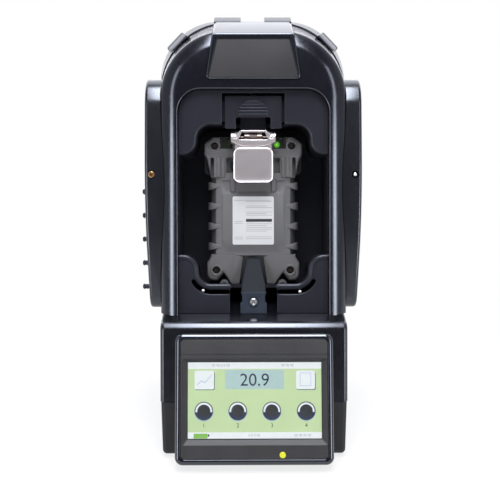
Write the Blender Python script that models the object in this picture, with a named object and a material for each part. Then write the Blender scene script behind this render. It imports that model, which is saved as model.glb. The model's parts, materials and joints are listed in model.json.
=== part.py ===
"""Bench test stand with a portable gas detector docked in its cradle, back outwards.

The stand is a base with a sloped touch screen, and an upright that leans back and holds a cradle. A sprung
latch keeps the detector in the cradle and a charging nose reaches into the groove in its back.

Units are metres. +Z is up and the front faces -Y. The base is drawn in world axes. The upright and all that
it holds are drawn in the leaning frame: x across, y into the cradle and z up along the front face. The
screen is drawn in a frame of its own: x across, y behind its front face and z up along its slope.
"""

import math
from typing import NamedTuple

import bmesh
import bpy
from mathutils import Vector

# Stance
LEAN = math.radians(14.0)
LEAN_ORIGIN_Y = -0.05125
BACK_Y = 0.09075
GAP = 0.0003
WALL = 0.0025

# Base: feet, tray and housing, from the bench upwards
FOOT_RADIUS = 0.0070
FOOT_HEIGHT = 0.0030
FOOT_CHAMFER = 0.0008
TRAY_LOW_Z = FOOT_HEIGHT + GAP
TRAY_HEIGHT = 0.0381
TRAY_EDGE = 0.0045
BASE_SPLIT_Z = TRAY_LOW_Z + TRAY_HEIGHT
HOUSING_HEIGHT = 0.0550
DECK_Z = BASE_SPLIT_Z + HOUSING_HEIGHT
DECK_NOSING = 0.0050
BASE_PROUD = 0.0160
BASE_EDGE = 0.0030
FOOT_FRONT_INSET = 0.01725
FOOT_FRONT_Y = LEAN_ORIGIN_Y - BASE_PROUD + FOOT_FRONT_INSET
FOOT_BACK_INSET = 0.01375
FOOT_BACK_Y = BACK_Y - FOOT_BACK_INSET

# Foot of the upright, along the lean
DECK_HEIGHT = DECK_Z / math.cos(LEAN)
SHELL_SPARE = 0.03935
SHELL_FOOT = DECK_HEIGHT - SHELL_SPARE
POCKET_RISE = 0.02235
POCKET_LOW = DECK_HEIGHT + POCKET_RISE

# Detector's front, from its bottom upwards
DETECTOR_FLOOR_GAP = 0.0005
DETECTOR_LOW = POCKET_LOW + DETECTOR_FLOOR_GAP
GRILLE_RISE = 0.0298
GRILLE_HALF_WIDTH = 0.0200
GRILLE_HEIGHT = 0.0260
GRILLE_LOW = DETECTOR_LOW + GRILLE_RISE
GRILLE_HIGH = GRILLE_LOW + GRILLE_HEIGHT
GRILLE_WINDOW = (GRILLE_HALF_WIDTH, GRILLE_LOW, GRILLE_HIGH)
GRILLE_THICKNESS = 0.0023
GRILLE_SLOTS = 5
GRILLE_SLOT_WIDTH = 0.0022
GRILLE_MARGIN = 0.0030
BUTTON_COUNT = 3
BUTTON_RADIUS = 0.0030
BUTTON_PITCH = 0.0140
BUTTON_PROUD = 0.0010
BUTTON_LENGTH = 0.0030
BUTTON_GAP = 0.0045
BUTTON_HEIGHT = GRILLE_HIGH + BUTTON_GAP + BUTTON_RADIUS
LENS_GAP = 0.0015
LENS_HALF_WIDTH = 0.0200
LENS_HEIGHT = 0.0260
LENS_LOW = BUTTON_HEIGHT + BUTTON_RADIUS + LENS_GAP
LENS_HIGH = LENS_LOW + LENS_HEIGHT
DISPLAY_WINDOW = (LENS_HALF_WIDTH, LENS_LOW, LENS_HIGH)
LENS_SETBACK = 0.0002
LENS_THICKNESS = 0.0020
MODULE_MARGIN = 0.0020
MODULE_THICKNESS = 0.0060
SENSOR_COUNT = 3
SENSOR_RADIUS = 0.0060
SENSOR_PITCH = 0.0128
SENSOR_LENGTH = 0.0100
DETECTOR_BROW = 0.0189
DETECTOR_TOP = LENS_HIGH + DETECTOR_BROW
DETECTOR_TOP_FALL = math.radians(8.0)

# Detector's depth, behind the cradle panel
PANEL_DEPTH = 0.0060
PANEL_THICKNESS = 0.0030
DETECTOR_SETBACK = 0.0150
DETECTOR_BACK = PANEL_DEPTH + PANEL_THICKNESS + DETECTOR_SETBACK
DETECTOR_HALF_DEPTH = 0.0170
DETECTOR_SPLIT = DETECTOR_BACK + DETECTOR_HALF_DEPTH
DETECTOR_FRONT = DETECTOR_SPLIT + DETECTOR_HALF_DEPTH
DETECTOR_SEAM = 0.0012
DETECTOR_WALL = 0.0025
DETECTOR_EDGE = 0.0020

# Charging nose, and the detector's groove and bottom notches, from the middle outwards
NOSE_HALF_BASE = 0.0101
NOSE_HALF_TIP = 0.0055
GROOVE_SIDE_LOW = 0.0042
GROOVE_SIDE_TOP = 0.0029
GROOVE_HALF_LOW = NOSE_HALF_BASE + GROOVE_SIDE_LOW
GROOVE_HALF_TOP = NOSE_HALF_TIP + GROOVE_SIDE_TOP
NOTCH_INSET = 0.0027
NOTCH_INNER = GROOVE_HALF_LOW + NOTCH_INSET
NOTCH_INNER_SLOPE = 0.0058
NOTCH_APEX = NOTCH_INNER + NOTCH_INNER_SLOPE
NOTCH_OUTER_SLOPE = 0.0047
NOTCH_OUTER = NOTCH_APEX + NOTCH_OUTER_SLOPE
NOTCH_RISE = 0.0083

# Detector's outline
LOW_BOSS_WIDTH = 0.0079
LOW_HALF_WIDTH = NOTCH_OUTER + LOW_BOSS_WIDTH
TOP_FLARE = 0.0022
TOP_HALF_WIDTH = LOW_HALF_WIDTH + TOP_FLARE
TOP_BOSS_HEIGHT = 0.0229
TOP_SHOULDER_INSET = 0.0066
TOP_SHOULDER_X = TOP_HALF_WIDTH - TOP_SHOULDER_INSET
TOP_SHOULDER_DROP = 0.0049
WAIST_INSET = 0.0051
WAIST_HALF_WIDTH = TOP_HALF_WIDTH - WAIST_INSET
LOW_BOSS_HEIGHT = 0.0163
LOW_BOSS_HIGH = DETECTOR_LOW + LOW_BOSS_HEIGHT
LOW_BOSS_RISE = 0.0024
LOW_CORNER = 0.0050
LOW_SLOPE = 0.0045
WAIST_LOW = LOW_BOSS_HIGH + LOW_SLOPE
TOP_SLOPE = 0.0070
WAIST_HIGH = DETECTOR_TOP - TOP_BOSS_HEIGHT - TOP_SLOPE
RIB_COUNT = 4
RIB_PITCH = (WAIST_HIGH - WAIST_LOW) / RIB_COUNT
RIB_LOW = WAIST_LOW + RIB_PITCH / 2
RIB_HALF_HEIGHT = 0.0033
RIB_PROUD = 0.0017

# Charging nose in its slot, and the groove that it reaches into
GROOVE_HEIGHT = 0.0208
GROOVE_TOP = DETECTOR_LOW + GROOVE_HEIGHT
GROOVE_DEPTH_TOP = 0.0035
GROOVE_DEPTH_LOW = 0.0100
GROOVE_WALL = 0.0020
SLOT_MARGIN = 0.0076
SLOT_HALF_WIDTH = NOSE_HALF_BASE + SLOT_MARGIN
SLOT_SETBACK = 0.0020
SLOT_BACK = DETECTOR_BACK - SLOT_SETBACK
NOSE_DEPTH = 0.0100
NOSE_BASE_FRONT = SLOT_BACK - NOSE_DEPTH
NOSE_LEDGE = 0.0025
NOSE_STEP_FRONT = NOSE_BASE_FRONT + NOSE_LEDGE
NOSE_STEP_DROP = 0.0043
NOSE_STEP = POCKET_LOW - NOSE_STEP_DROP
NOSE_TIP_GAP = 0.0008
NOSE_TIP = GROOVE_TOP - NOSE_TIP_GAP
NOSE_TIP_CLEARANCE = 0.0009
NOSE_TIP_BACK = DETECTOR_BACK + GROOVE_DEPTH_TOP - NOSE_TIP_CLEARANCE
NOSE_TIP_DEPTH = 0.0061
NOSE_TIP_FRONT = NOSE_TIP_BACK - NOSE_TIP_DEPTH
NOSE_HEEL_RISE = 0.0048
NOSE_HEEL = POCKET_LOW + NOSE_HEEL_RISE
SCREW_DROP = 0.0080
SCREW_HEIGHT = NOSE_STEP - SCREW_DROP
SCREW_HEAD_RADIUS = 0.0030
SCREW_HEAD_DEPTH = 0.0018
SCREW_SHANK_RADIUS = 0.0014
SCREW_LENGTH = 0.0110
CONTACT_HALF_WIDTH = 0.0032
CONTACT_HEIGHT = 0.0020
CONTACT_DROP = 0.0034
CONTACT_DEPTH = 0.0030

# Detector's fittings
TOP_SCREW_INSET = 0.0081
TOP_SCREW_DROP = 0.0070
LOW_SCREW_INSET = 0.0070
LOW_SCREW_RISE = 0.0103
DETECTOR_SCREWS = (
    (TOP_HALF_WIDTH - TOP_SCREW_INSET, DETECTOR_TOP - TOP_SCREW_DROP),
    (LOW_HALF_WIDTH - LOW_SCREW_INSET, DETECTOR_LOW + LOW_SCREW_RISE),
)
DETECTOR_BOSS = 0.0036
DETECTOR_HEAD_RADIUS = 0.0024
DETECTOR_HEAD_DEPTH = 0.0030
DETECTOR_HEAD_THICKNESS = 0.0020
DETECTOR_SHANK = 0.0011
DETECTOR_SHANK_LENGTH = 0.0140
DETECTOR_BOSS_LENGTH = 0.0040
BATTERY_INSET = 0.0040
BATTERY_HALF_WIDTH = WAIST_HALF_WIDTH - DETECTOR_WALL - BATTERY_INSET
BATTERY_RISE = 0.0070
BATTERY_LOW = WAIST_LOW + BATTERY_RISE
BATTERY_HIGH = WAIST_HIGH
BATTERY_DEPTH = 0.0115
CIRCUIT_RISE = 0.0030
CIRCUIT_LOW = WAIST_LOW + CIRCUIT_RISE
CIRCUIT_TOP_DROP = 0.0129
CIRCUIT_HIGH = DETECTOR_TOP - CIRCUIT_TOP_DROP
CIRCUIT_GAP = 0.0011
CIRCUIT_BACK = DETECTOR_BACK + DETECTOR_WALL + GAP + BATTERY_DEPTH + CIRCUIT_GAP
CIRCUIT_THICKNESS = 0.0012
BUZZER_RADIUS = 0.0060
BUZZER_LENGTH = 0.0090
BUZZER_X = -0.0120
BUZZER_GAP = 0.0020
BUZZER_HEIGHT = BATTERY_HIGH + BUZZER_GAP + BUZZER_RADIUS
LIGHT_X = 0.0185
LIGHT_DROP = 0.0063
LIGHT_HEIGHT = DETECTOR_TOP - LIGHT_DROP
LIGHT_HALF = (0.0025, 0.0020)
LIGHT_LENGTH = 0.0060
LABEL_HALF_WIDTH = 0.0158
LABEL_RISE = 0.0300
LABEL_LOW = DETECTOR_LOW + LABEL_RISE
LABEL_HEIGHT = 0.0370
LABEL_HIGH = LABEL_LOW + LABEL_HEIGHT
LABEL_THICKNESS = 0.0003

# Belt clip on the detector's back
BRACKET_HALF_WIDTH = 0.0120
BRACKET_HEIGHT = 0.0200
BRACKET_THICKNESS = 0.0020
CLIP_RADIUS = 0.0052
CLIP_DEPTH = DETECTOR_BACK - GAP - BRACKET_THICKNESS - GAP - CLIP_RADIUS
CLIP_DROP = 0.0015
CLIP_HEIGHT = DETECTOR_TOP - CLIP_DROP
BRACKET_RISE = 0.0006
BRACKET_HIGH = CLIP_HEIGHT + BRACKET_RISE
BRACKET_LOW = BRACKET_HIGH - BRACKET_HEIGHT
CLIP_HALF_WIDTH = 0.0170
CLIP_PLATE_HALF = 0.0150
CLIP_LENGTH = 0.0340
CLIP_PLATE_LOW = CLIP_HEIGHT - CLIP_LENGTH
CLIP_PLATE_THICKNESS = 0.0014
CLIP_PLATE_CORNER = 0.0040
KNUCKLE_HALF_WIDTH = 0.0070
KNUCKLE_WALL = 0.0008
KNUCKLE_RADIUS = CLIP_RADIUS - KNUCKLE_WALL
KNUCKLE_SLOT = 0.0030
PIN_RADIUS = 0.0014
PIN_INSET = 0.0008
COIL_INSET = 0.0012
COIL_RADIUS = KNUCKLE_RADIUS - COIL_INSET

# Cradle pan round the detector
POCKET_SIDE = 0.0049
POCKET_HALF_NARROW = TOP_HALF_WIDTH + POCKET_SIDE
POCKET_STEP = 0.0110
POCKET_HALF_WIDE = POCKET_HALF_NARROW + POCKET_STEP
POCKET_HEADROOM = 0.0076
POCKET_HIGH = DETECTOR_TOP + POCKET_HEADROOM
POCKET_CURVE_LOW = 0.0221
POCKET_WIDE_LOW = POCKET_LOW + POCKET_CURVE_LOW
POCKET_CURVE_HIGH = 0.0226
POCKET_WIDE_HIGH = POCKET_HIGH - POCKET_CURVE_HIGH
POCKET_CLEARANCE = 0.0080
POCKET_BACK = DETECTOR_FRONT + POCKET_CLEARANCE
PAD_INSET = 0.0006
PAD_X = NOTCH_APEX - PAD_INSET
PAD_RADIUS = 0.0035
PAD_LENGTH = 0.0200
PAD_REACH = 0.0080
PAD_FRONT = DETECTOR_BACK - PAD_REACH

# Flow cup behind the detector's sensors
CUP_MARGIN = 0.0017
CUP_TOP_MARGIN = 0.0037
CUP_HALF_WIDTH = GRILLE_HALF_WIDTH + CUP_MARGIN
CUP_LOW = GRILLE_LOW - CUP_MARGIN
CUP_HIGH = GRILLE_HIGH + CUP_TOP_MARGIN
SEAL_GAP = 0.0005
SEAL_THICKNESS = 0.0032
CUP_FRONT = DETECTOR_FRONT + SEAL_GAP + SEAL_THICKNESS + GAP
CUP_LENGTH = 0.0140
CUP_WALL = 0.0035
CUP_FLOOR = 0.0040

# Release latch above the detector
LATCH_RISE = 0.0048
LATCH_LOW = DETECTOR_TOP + LATCH_RISE
LATCH_HEIGHT = 0.0248
LATCH_HIGH = LATCH_LOW + LATCH_HEIGHT
LATCH_HALF_WIDTH = 0.0214
LATCH_THICKNESS = 0.0030
LATCH_SETBACK = 0.0004
LATCH_SIDE_GAP = 0.0021
LATCH_TOP_GAP = 0.0016
LATCH_TRAVEL = 0.0030
LATCH_WING = 0.0046
LATCH_WING_THICKNESS = 0.0020
LATCH_WING_HEIGHT = 0.0160
RAIL_WIDTH = 0.0020
GRIP_HALF_WIDTH = 0.0111
GRIP_HEIGHT = 0.0130
GRIP_PROUD = 0.0014
THUMB_HALF_WIDTH = 0.0130
THUMB_HEIGHT = 0.0085
NIB_HALF_WIDTH = 0.0100
NIB_LEAD = 0.0010
NIB_FRONT = DETECTOR_BACK - NIB_LEAD
NIB_DEPTH = 0.0050
NIB_BACK = NIB_FRONT + NIB_DEPTH
NIB_RISE = 0.0009
NIB_LOW = DETECTOR_TOP + NIB_RISE
ARM_RISE = 0.0103
ARM_LOW = LATCH_LOW + ARM_RISE
ARM_HEIGHT = 0.0060
ARM_HIGH = ARM_LOW + ARM_HEIGHT
LATCH_WINDOW_MARGIN = 0.0040
LATCH_WINDOW_BACK = NIB_BACK + LATCH_WINDOW_MARGIN
SPRING_DEPTH = 0.0200
SPRING_RADIUS = 0.0025
SPRING_WIRE = 0.0004
SPRING_TURNS = 6
SPRING_STEPS = 10

# Cradle opening, hood and front shell, round the cradle pan and latch
RIM_MARGIN = 0.0028
RIM_HALF_WIDTH = POCKET_HALF_WIDE + RIM_MARGIN
RIM_HEADROOM = 0.0010
RIM_TOP = LATCH_HIGH + LATCH_TRAVEL + RIM_HEADROOM
RIM_CORNER = 0.0130
HOOD_RISE_ABOVE_RIM = 0.0045
HOOD_BOTTOM = RIM_TOP + HOOD_RISE_ABOVE_RIM
HOOD_HEIGHT = 0.0363
HOOD_TOP = HOOD_BOTTOM + HOOD_HEIGHT
HOOD_PROUD = 0.0015
HOOD_HALF_BOTTOM = 0.0355
HOOD_TAPER = 0.0052
HOOD_HALF_TOP = HOOD_HALF_BOTTOM - HOOD_TAPER
HOOD_RISE = 0.0140
HOOD_CORNER = 0.0020
PLATE_LOW_MARGIN = 0.0037
PLATE_BOTTOM = HOOD_BOTTOM + PLATE_LOW_MARGIN
PLATE_TOP_MARGIN = 0.0046
PLATE_TOP = HOOD_TOP - PLATE_TOP_MARGIN
PLATE_LOW_SIDE = 0.0022
PLATE_HALF_BOTTOM = HOOD_HALF_BOTTOM - PLATE_LOW_SIDE
PLATE_TOP_SIDE = 0.0037
PLATE_HALF_TOP = HOOD_HALF_TOP - PLATE_TOP_SIDE
PLATE_THICKNESS = 0.0007
PLATE_CORNER = 0.0010
SHELL_BAND = 0.0117
SHELL_HALF_WIDTH = RIM_HALF_WIDTH + SHELL_BAND
SHELL_CREST = 0.0007
SHELL_TOP = HOOD_TOP + SHELL_CREST
SHELL_CORNER = 0.0480
SHELL_DEPTH = 0.0440
SHELL_FLARE = 0.0030
SHELL_RISE = 0.0130
ROLL_MARGIN = 0.0012
ROLL_WIDTH = SHELL_BAND - ROLL_MARGIN
ROLL_DEPTH = 0.0110
ROLL_STEPS = 4

# Rear shell, with its lifting lugs, shoulder pads and vents
REAR_STEP = 0.0008
LUG_INNER = 0.0090
LUG_WIDTH = 0.0220
LUG_HEIGHT = 0.0070
LUG_SETBACK = 0.0020
LUG_LENGTH = 0.0120
SHOULDER_ANGLE = math.radians(43.0)
SHOULDER_LENGTH = 0.0172
SHOULDER_PROUD = 0.0040
SHOULDER_ROOT = 0.0060
SHOULDER_DEPTH = 0.0150
VENT_COUNT = 6
VENT_PITCH = 0.0100
VENT_WIDTH = 0.0040
VENT_RISE = 0.0536
VENT_LOW_Z = DECK_Z + VENT_RISE
VENT_HEIGHT = 0.0400
VENT_HIGH_Z = VENT_LOW_Z + VENT_HEIGHT

# Side covers on the upright, with the insert and the gas ports
REAR_HALF_WIDTH = SHELL_HALF_WIDTH + SHELL_FLARE + REAR_STEP
COVER_PROUD = 0.0096
COVER_OUTER = REAR_HALF_WIDTH + COVER_PROUD
COVER_OVERLAP = 0.0120
COVER_INNER = SHELL_HALF_WIDTH - COVER_OVERLAP
COVER_RISE = 0.00715
COVER_LOW = DECK_HEIGHT + COVER_RISE
COVER_TOP_DROP = 0.0310
COVER_HIGH = SHELL_TOP - COVER_TOP_DROP
COVER_FRONT = 0.0016
COVER_BULGE_HEIGHT = (COVER_LOW + COVER_HIGH) / 2
COVER_SETBACK_LOW = 0.0084
COVER_FRONT_LOW = COVER_FRONT + COVER_SETBACK_LOW
COVER_SETBACK_HIGH = 0.0064
COVER_FRONT_HIGH = COVER_FRONT + COVER_SETBACK_HIGH
COVER_BULGE_RADIUS = 0.4500
COVER_CORNER = 0.0230
COVER_BACK_INSET = 0.0060
COVER_WALL = 0.0030
COVER_TAPER = 0.0042
COVER_TAPER_HEIGHT = 0.1085
COVER_TAPER_START = COVER_LOW + COVER_TAPER_HEIGHT
COVER_TAPER_STEPS = 3
INSERT_INSET = 0.0052
INSERT_X = COVER_OUTER - INSERT_INSET
INSERT_RISE = 0.0986
INSERT_HEIGHT = COVER_LOW + INSERT_RISE
INSERT_RADIUS = 0.0023
INSERT_BORE = 0.0011
INSERT_LENGTH = 0.0060
PORT_COUNT = 5
PORT_RISE = 0.0141
PORT_LOW = COVER_LOW + PORT_RISE
PORT_PITCH = 0.01805
PORT_DEPTH = 0.0280
PORT_RADIUS = 0.0016
PORT_BARB_RADIUS = 0.0022
PORT_PROUD = 0.0028
PORT_REACH = COVER_OUTER + PORT_PROUD
PORT_BLOCK_DEPTH = 0.0100
PORT_BLOCK_WIDTH = 0.0036
PORT_BLOCK_MARGIN = 0.0028
PORT_WALL_GAP = 0.0018

# Base across, under the upright
BASE_INSET = 0.0005
BASE_HALF_WIDTH = SHELL_HALF_WIDTH - BASE_INSET
TRAY_STEP = 0.0015
TRAY_HALF_WIDTH = BASE_HALF_WIDTH - TRAY_STEP
FOOT_SIDE_INSET = 0.0160
FOOT_X = TRAY_HALF_WIDTH - FOOT_SIDE_INSET
DECK_HOLE_HALF = 0.0300
DECK_HOLE_INSET = 0.01275
DECK_HOLE_BACK = BACK_Y - DECK_HOLE_INSET
DECK_HOLE_LENGTH = 0.0300
DECK_HOLE_FRONT = DECK_HOLE_BACK - DECK_HOLE_LENGTH

# Workings in the base
WORKINGS_INSET = 0.02475
WORKINGS_Y = BACK_Y - WORKINGS_INSET
BOARD_HALF_WIDTH = 0.0450
BOARD_SETBACK = 0.0260
BOARD_BACK_Y = WORKINGS_Y - BOARD_SETBACK
BOARD_LENGTH = 0.0700
BOARD_FRONT_Y = BOARD_BACK_Y - BOARD_LENGTH
POST_HEIGHT = 0.0062
BOARD_Z = TRAY_LOW_Z + WALL + POST_HEIGHT
BOARD_THICKNESS = 0.0016
POST_RADIUS = 0.0030
POST_INSET = 0.0050
PUMP_INSET = 0.0360
PUMP_X = PUMP_INSET - TRAY_HALF_WIDTH
PUMP_SIZE = (0.0360, 0.0260, 0.0240)
PUMP_HEAD_RADIUS = 0.0100
PUMP_HEAD_HEIGHT = 0.0060
MANIFOLD_INSET = 0.0400
MANIFOLD_X = TRAY_HALF_WIDTH - MANIFOLD_INSET
MANIFOLD_SIZE = (0.0560, 0.0200, 0.0220)
VALVE_RADIUS = 0.0042
VALVE_HEIGHT = 0.0100
JACK_RISE = 0.0186
JACK_Z = BASE_SPLIT_Z + JACK_RISE
POWER_X = -0.0350
POWER_SIZE = (0.0120, 0.0140, 0.0120)
POWER_BORE = 0.0033
POWER_BORE_DEPTH = 0.0100
JACK_PITCH = 0.0300
NETWORK_X = POWER_X + JACK_PITCH
NETWORK_SIZE = (0.0160, 0.0200, 0.0135)
NETWORK_MOUTH = (0.0117, 0.0120, 0.0080)

# Screen pod, from its display outwards
SCREEN_LEAN = math.radians(21.5)
SCREEN_FOOT_Z = 0.0071
SCREEN_REACH = 0.02478
BASE_FOOT_Y = LEAN_ORIGIN_Y - BASE_PROUD / math.cos(LEAN) + SCREEN_FOOT_Z * math.tan(LEAN)
SCREEN_FOOT_Y = BASE_FOOT_Y - SCREEN_REACH
DISPLAY_HALF_WIDTH = 0.0495
DISPLAY_SIDE = 0.0017
DISPLAY_MARGIN = 0.0020
DISPLAY_THICKNESS = 0.0040
WINDOW_HALF_WIDTH = DISPLAY_HALF_WIDTH + DISPLAY_SIDE
WINDOW_LOW = 0.0145
WINDOW_HEIGHT = 0.0609
WINDOW_HIGH = WINDOW_LOW + WINDOW_HEIGHT
GLASS_MARGIN = 0.0012
GLASS_THICKNESS = 0.0010
POD_SIDE = 0.0058
POD_HALF_WIDTH = WINDOW_HALF_WIDTH + POD_SIDE
POD_BROW = 0.0176
POD_HEIGHT = WINDOW_HIGH + POD_BROW
POD_CORNER = 0.0050
POD_LENGTH = 0.0400
POD_LOW_Z = 0.0050
POD_FRONT_WALL = 0.0090
POD_HOLLOW_LOW = 0.0100
BEZEL_RIM = 0.0031
BEZEL_EDGE = 0.0012
FRONT_PLATE_SETBACK = 0.0003
FRONT_PLATE_THICKNESS = 0.0010
FRONT_PLATE_CORNER = 0.0030
LED_X = 0.0213
LED_HEIGHT = 0.0072
LED_RADIUS = 0.0022
LED_PROUD = 0.0004
LED_LENGTH = 0.0060

# Facets
ARC_STEPS = 5
EDGE_STEPS = 2
ROUND_SIDES = 20
SMALL_SIDES = 12
SHARP_ANGLE = math.radians(35.0)
FLATNESS = 0.000001
REACH = 0.4
OVERCUT = 0.0010


class Carrier(NamedTuple):
    """An empty that carries pieces, and the point of the drawing frame that lies on it."""

    empty: bpy.types.Object
    origin: Vector


def clear_scene():
    """Remove every object of the scene."""
    for item in list(bpy.data.objects):
        bpy.data.objects.remove(item, do_unlink=True)


def add_frame(name, location=(0.0, 0.0, 0.0), tilt=0.0):
    """Return a carrier at a place in the world, tilted back about X, with a drawing frame of its own."""
    empty = bpy.data.objects.new(name, None)
    bpy.context.scene.collection.objects.link(empty)
    empty.location = location
    empty.rotation_euler = (-tilt, 0.0, 0.0)
    return Carrier(empty, Vector((0.0, 0.0, 0.0)))


def add_joint(name, parent, pivot):
    """Return a carrier on a joint's axis, whose pieces are drawn in its parent's frame."""
    empty = bpy.data.objects.new(name, None)
    bpy.context.scene.collection.objects.link(empty)
    empty.parent = parent.empty
    empty.location = Vector(pivot) - parent.origin
    return Carrier(empty, Vector(pivot))


def finish(name, colour, roughness, metallic=0.0):
    """Return a material with a colour, a roughness and a metallic value."""
    material = bpy.data.materials.new(name)
    material.use_nodes = True
    surface = material.node_tree.nodes["Principled BSDF"]
    surface.inputs["Base Color"].default_value = (*colour, 1.0)
    surface.inputs["Roughness"].default_value = roughness
    surface.inputs["Metallic"].default_value = metallic
    return material


def make_finishes():
    """Return the materials of the object by name."""
    return {
        "gloss_black": finish("gloss_black", (0.010, 0.011, 0.014), 0.18),
        "satin_black": finish("satin_black", (0.018, 0.019, 0.023), 0.42),
        "charcoal": finish("charcoal", (0.035, 0.036, 0.040), 0.60),
        "slate": finish("slate", (0.055, 0.070, 0.095), 0.50),
        "detector_grey": finish("detector_grey", (0.160, 0.155, 0.150), 0.60),
        "chrome": finish("chrome", (0.620, 0.570, 0.560), 0.18, 1.0),
        "steel": finish("steel", (0.560, 0.560, 0.570), 0.35, 1.0),
        "brass": finish("brass", (0.700, 0.420, 0.200), 0.30, 1.0),
        "rubber": finish("rubber", (0.060, 0.060, 0.060), 0.85),
        "label_white": finish("label_white", (0.850, 0.850, 0.850), 0.55),
        "screen_green": finish("screen_green", (0.620, 0.780, 0.420), 0.30),
        "clear_glass": finish("clear_glass", (0.900, 0.930, 0.920), 0.08),
        "light_green": finish("light_green", (0.180, 0.700, 0.060), 0.30),
        "light_amber": finish("light_amber", (0.900, 0.720, 0.060), 0.30),
        "board_green": finish("board_green", (0.020, 0.180, 0.080), 0.50),
        "battery_blue": finish("battery_blue", (0.050, 0.120, 0.300), 0.50),
        "aluminium": finish("aluminium", (0.600, 0.600, 0.610), 0.40, 1.0),
    }


def rounded(corners):
    """Return an outline's points, with each corner (across, up, radius) turned into an arc."""
    points = []
    for index, (across, up, radius) in enumerate(corners):
        corner = Vector((across, up))
        if radius == 0:
            points.append(corner)
            continue
        back = (Vector(corners[index - 1][:2]) - corner).normalized()
        ahead = (Vector(corners[(index + 1) % len(corners)][:2]) - corner).normalized()
        half_angle = back.angle(ahead) / 2
        centre = corner + (back + ahead).normalized() * (radius / math.sin(half_angle))
        start = corner + back * (radius / math.tan(half_angle)) - centre
        end = corner + ahead * (radius / math.tan(half_angle)) - centre
        first = math.atan2(start.y, start.x)
        sweep = (math.atan2(end.y, end.x) - first + math.pi) % math.tau - math.pi
        for step in range(ARC_STEPS + 1):
            angle = first + sweep * step / ARC_STEPS
            points.append(centre + Vector((math.cos(angle), math.sin(angle))) * radius)
    return points


def pocket_curve():
    """Return the radius of the pocket's S-curves, which fill the step between its two widths."""
    return min(
        POCKET_HALF_WIDE - POCKET_HALF_NARROW - GAP,
        (POCKET_WIDE_LOW - POCKET_LOW - GAP) / 2,
        (POCKET_HIGH - POCKET_WIDE_HIGH - GAP) / 2,
    )


def rectangle(half_width, low, high, radius=0.0):
    """Return an outline of a rectangle about the middle, with round corners."""
    return rounded([
        (-half_width, low, radius),
        (half_width, low, radius),
        (half_width, high, radius),
        (-half_width, high, radius),
    ])


def grown(outline, distance):
    """Return an outline moved outwards by a distance, or inwards if it is negative."""
    moved = []
    for index, point in enumerate(outline):
        before = (point - outline[index - 1]).normalized()
        after = (outline[(index + 1) % len(outline)] - point).normalized()
        first = Vector((before.y, -before.x))
        second = Vector((after.y, -after.x))
        moved.append(point + (first + second) * (distance / (1.0 + first.dot(second))))
    return moved


def mirrored(right_half):
    """Return a whole outline from its right half, which runs from the bottom to the top."""
    left_half = [(-across, up, radius) for across, up, radius in reversed(right_half)]
    return rounded(right_half + left_half)


def at_depth(outline, depth):
    """Return an outline's points in space, at one depth."""
    return [(point.x, depth, point.y) for point in outline]


def add_side(shape, first, second, third, fourth):
    """Add a four-cornered face to a shape, as two triangles where it is twisted."""
    normal = (second.co - first.co).cross(fourth.co - first.co).normalized()
    if abs(normal.dot(third.co - first.co)) < FLATNESS:
        shape.faces.new((first, second, third, fourth))
    else:
        shape.faces.new((first, second, third))
        shape.faces.new((first, third, fourth))


def skin(name, rings, carrier, material=None):
    """Return a closed body through rings of points with flat ends, hidden as a tool if it has no material."""
    shape = bmesh.new()
    loops = [[shape.verts.new(point) for point in ring] for ring in rings]
    for lower, upper in zip(loops, loops[1:]):
        for index, corner in enumerate(lower):
            after = (index + 1) % len(lower)
            add_side(shape, corner, lower[after], upper[after], upper[index])
    shape.faces.new(loops[0][::-1])
    shape.faces.new(loops[-1])
    bmesh.ops.recalc_face_normals(shape, faces=shape.faces)
    mesh = bpy.data.meshes.new(name)
    shape.to_mesh(mesh)
    shape.free()
    mesh.shade_smooth()
    mesh.set_sharp_from_angle(angle=SHARP_ANGLE)
    body = bpy.data.objects.new(name, mesh)
    bpy.context.scene.collection.objects.link(body)
    body.parent = carrier.empty
    body.location = -carrier.origin
    if material is None:
        body.hide_render = True
        body.display_type = "WIRE"
    else:
        mesh.materials.append(material)
    return body


def prism(name, outline, front, back, carrier, material=None):
    """Return an outline of the front face, drawn out from one depth to another."""
    return skin(name, [at_depth(outline, front), at_depth(outline, back)], carrier, material)


def side_prism(name, profile, left, right, carrier, material=None):
    """Return a side profile (depth, up), drawn out from one x to another."""
    rings = [[(across, point.x, point.y) for point in profile] for across in (left, right)]
    return skin(name, rings, carrier, material)


def soft_side_prism(name, profile, half_width, edge, carrier, material):
    """Return a side profile drawn out to both sides of the middle, its ends rounded by an edge radius."""
    rings = []
    for side in (-1, 1):
        for step in range(EDGE_STEPS + 1):
            angle = math.pi / 2 * (step if side < 0 else EDGE_STEPS - step) / EDGE_STEPS
            across = side * (half_width - edge * (1.0 - math.cos(angle)))
            ring = grown(profile, edge * (math.sin(angle) - 1.0))
            rings.append([(across, point.x, point.y) for point in ring])
    return skin(name, rings, carrier, material)


def box(name, low, high, carrier, material=None):
    """Return a block between two corners."""
    base = [(low[0], low[1]), (high[0], low[1]), (high[0], high[1]), (low[0], high[1])]
    rings = [[(across, depth, up) for across, depth in base] for up in (low[2], high[2])]
    return skin(name, rings, carrier, material)


def turned(name, profile, axis, centre, carrier, material=None, sides=ROUND_SIDES):
    """Return a round body about an axis (0 to 2) through a centre, from pairs of place and radius."""
    first = (axis + 1) % 3
    second = (axis + 2) % 3
    rings = []
    for along, radius in profile:
        ring = []
        for side in range(sides):
            angle = math.tau * side / sides
            point = Vector(centre)
            point[axis] = along
            point[first] += radius * math.cos(angle)
            point[second] += radius * math.sin(angle)
            ring.append(point)
        rings.append(ring)
    return skin(name, rings, carrier, material)


def combine(body, tool, operation):
    """Add a Boolean with a tool to a body."""
    step = body.modifiers.new(tool.name, "BOOLEAN")
    step.operation = operation
    step.solver = "EXACT"
    step.object = tool


def cut(body, *tools):
    """Take each tool out of a body."""
    for tool in tools:
        combine(body, tool, "DIFFERENCE")


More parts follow.
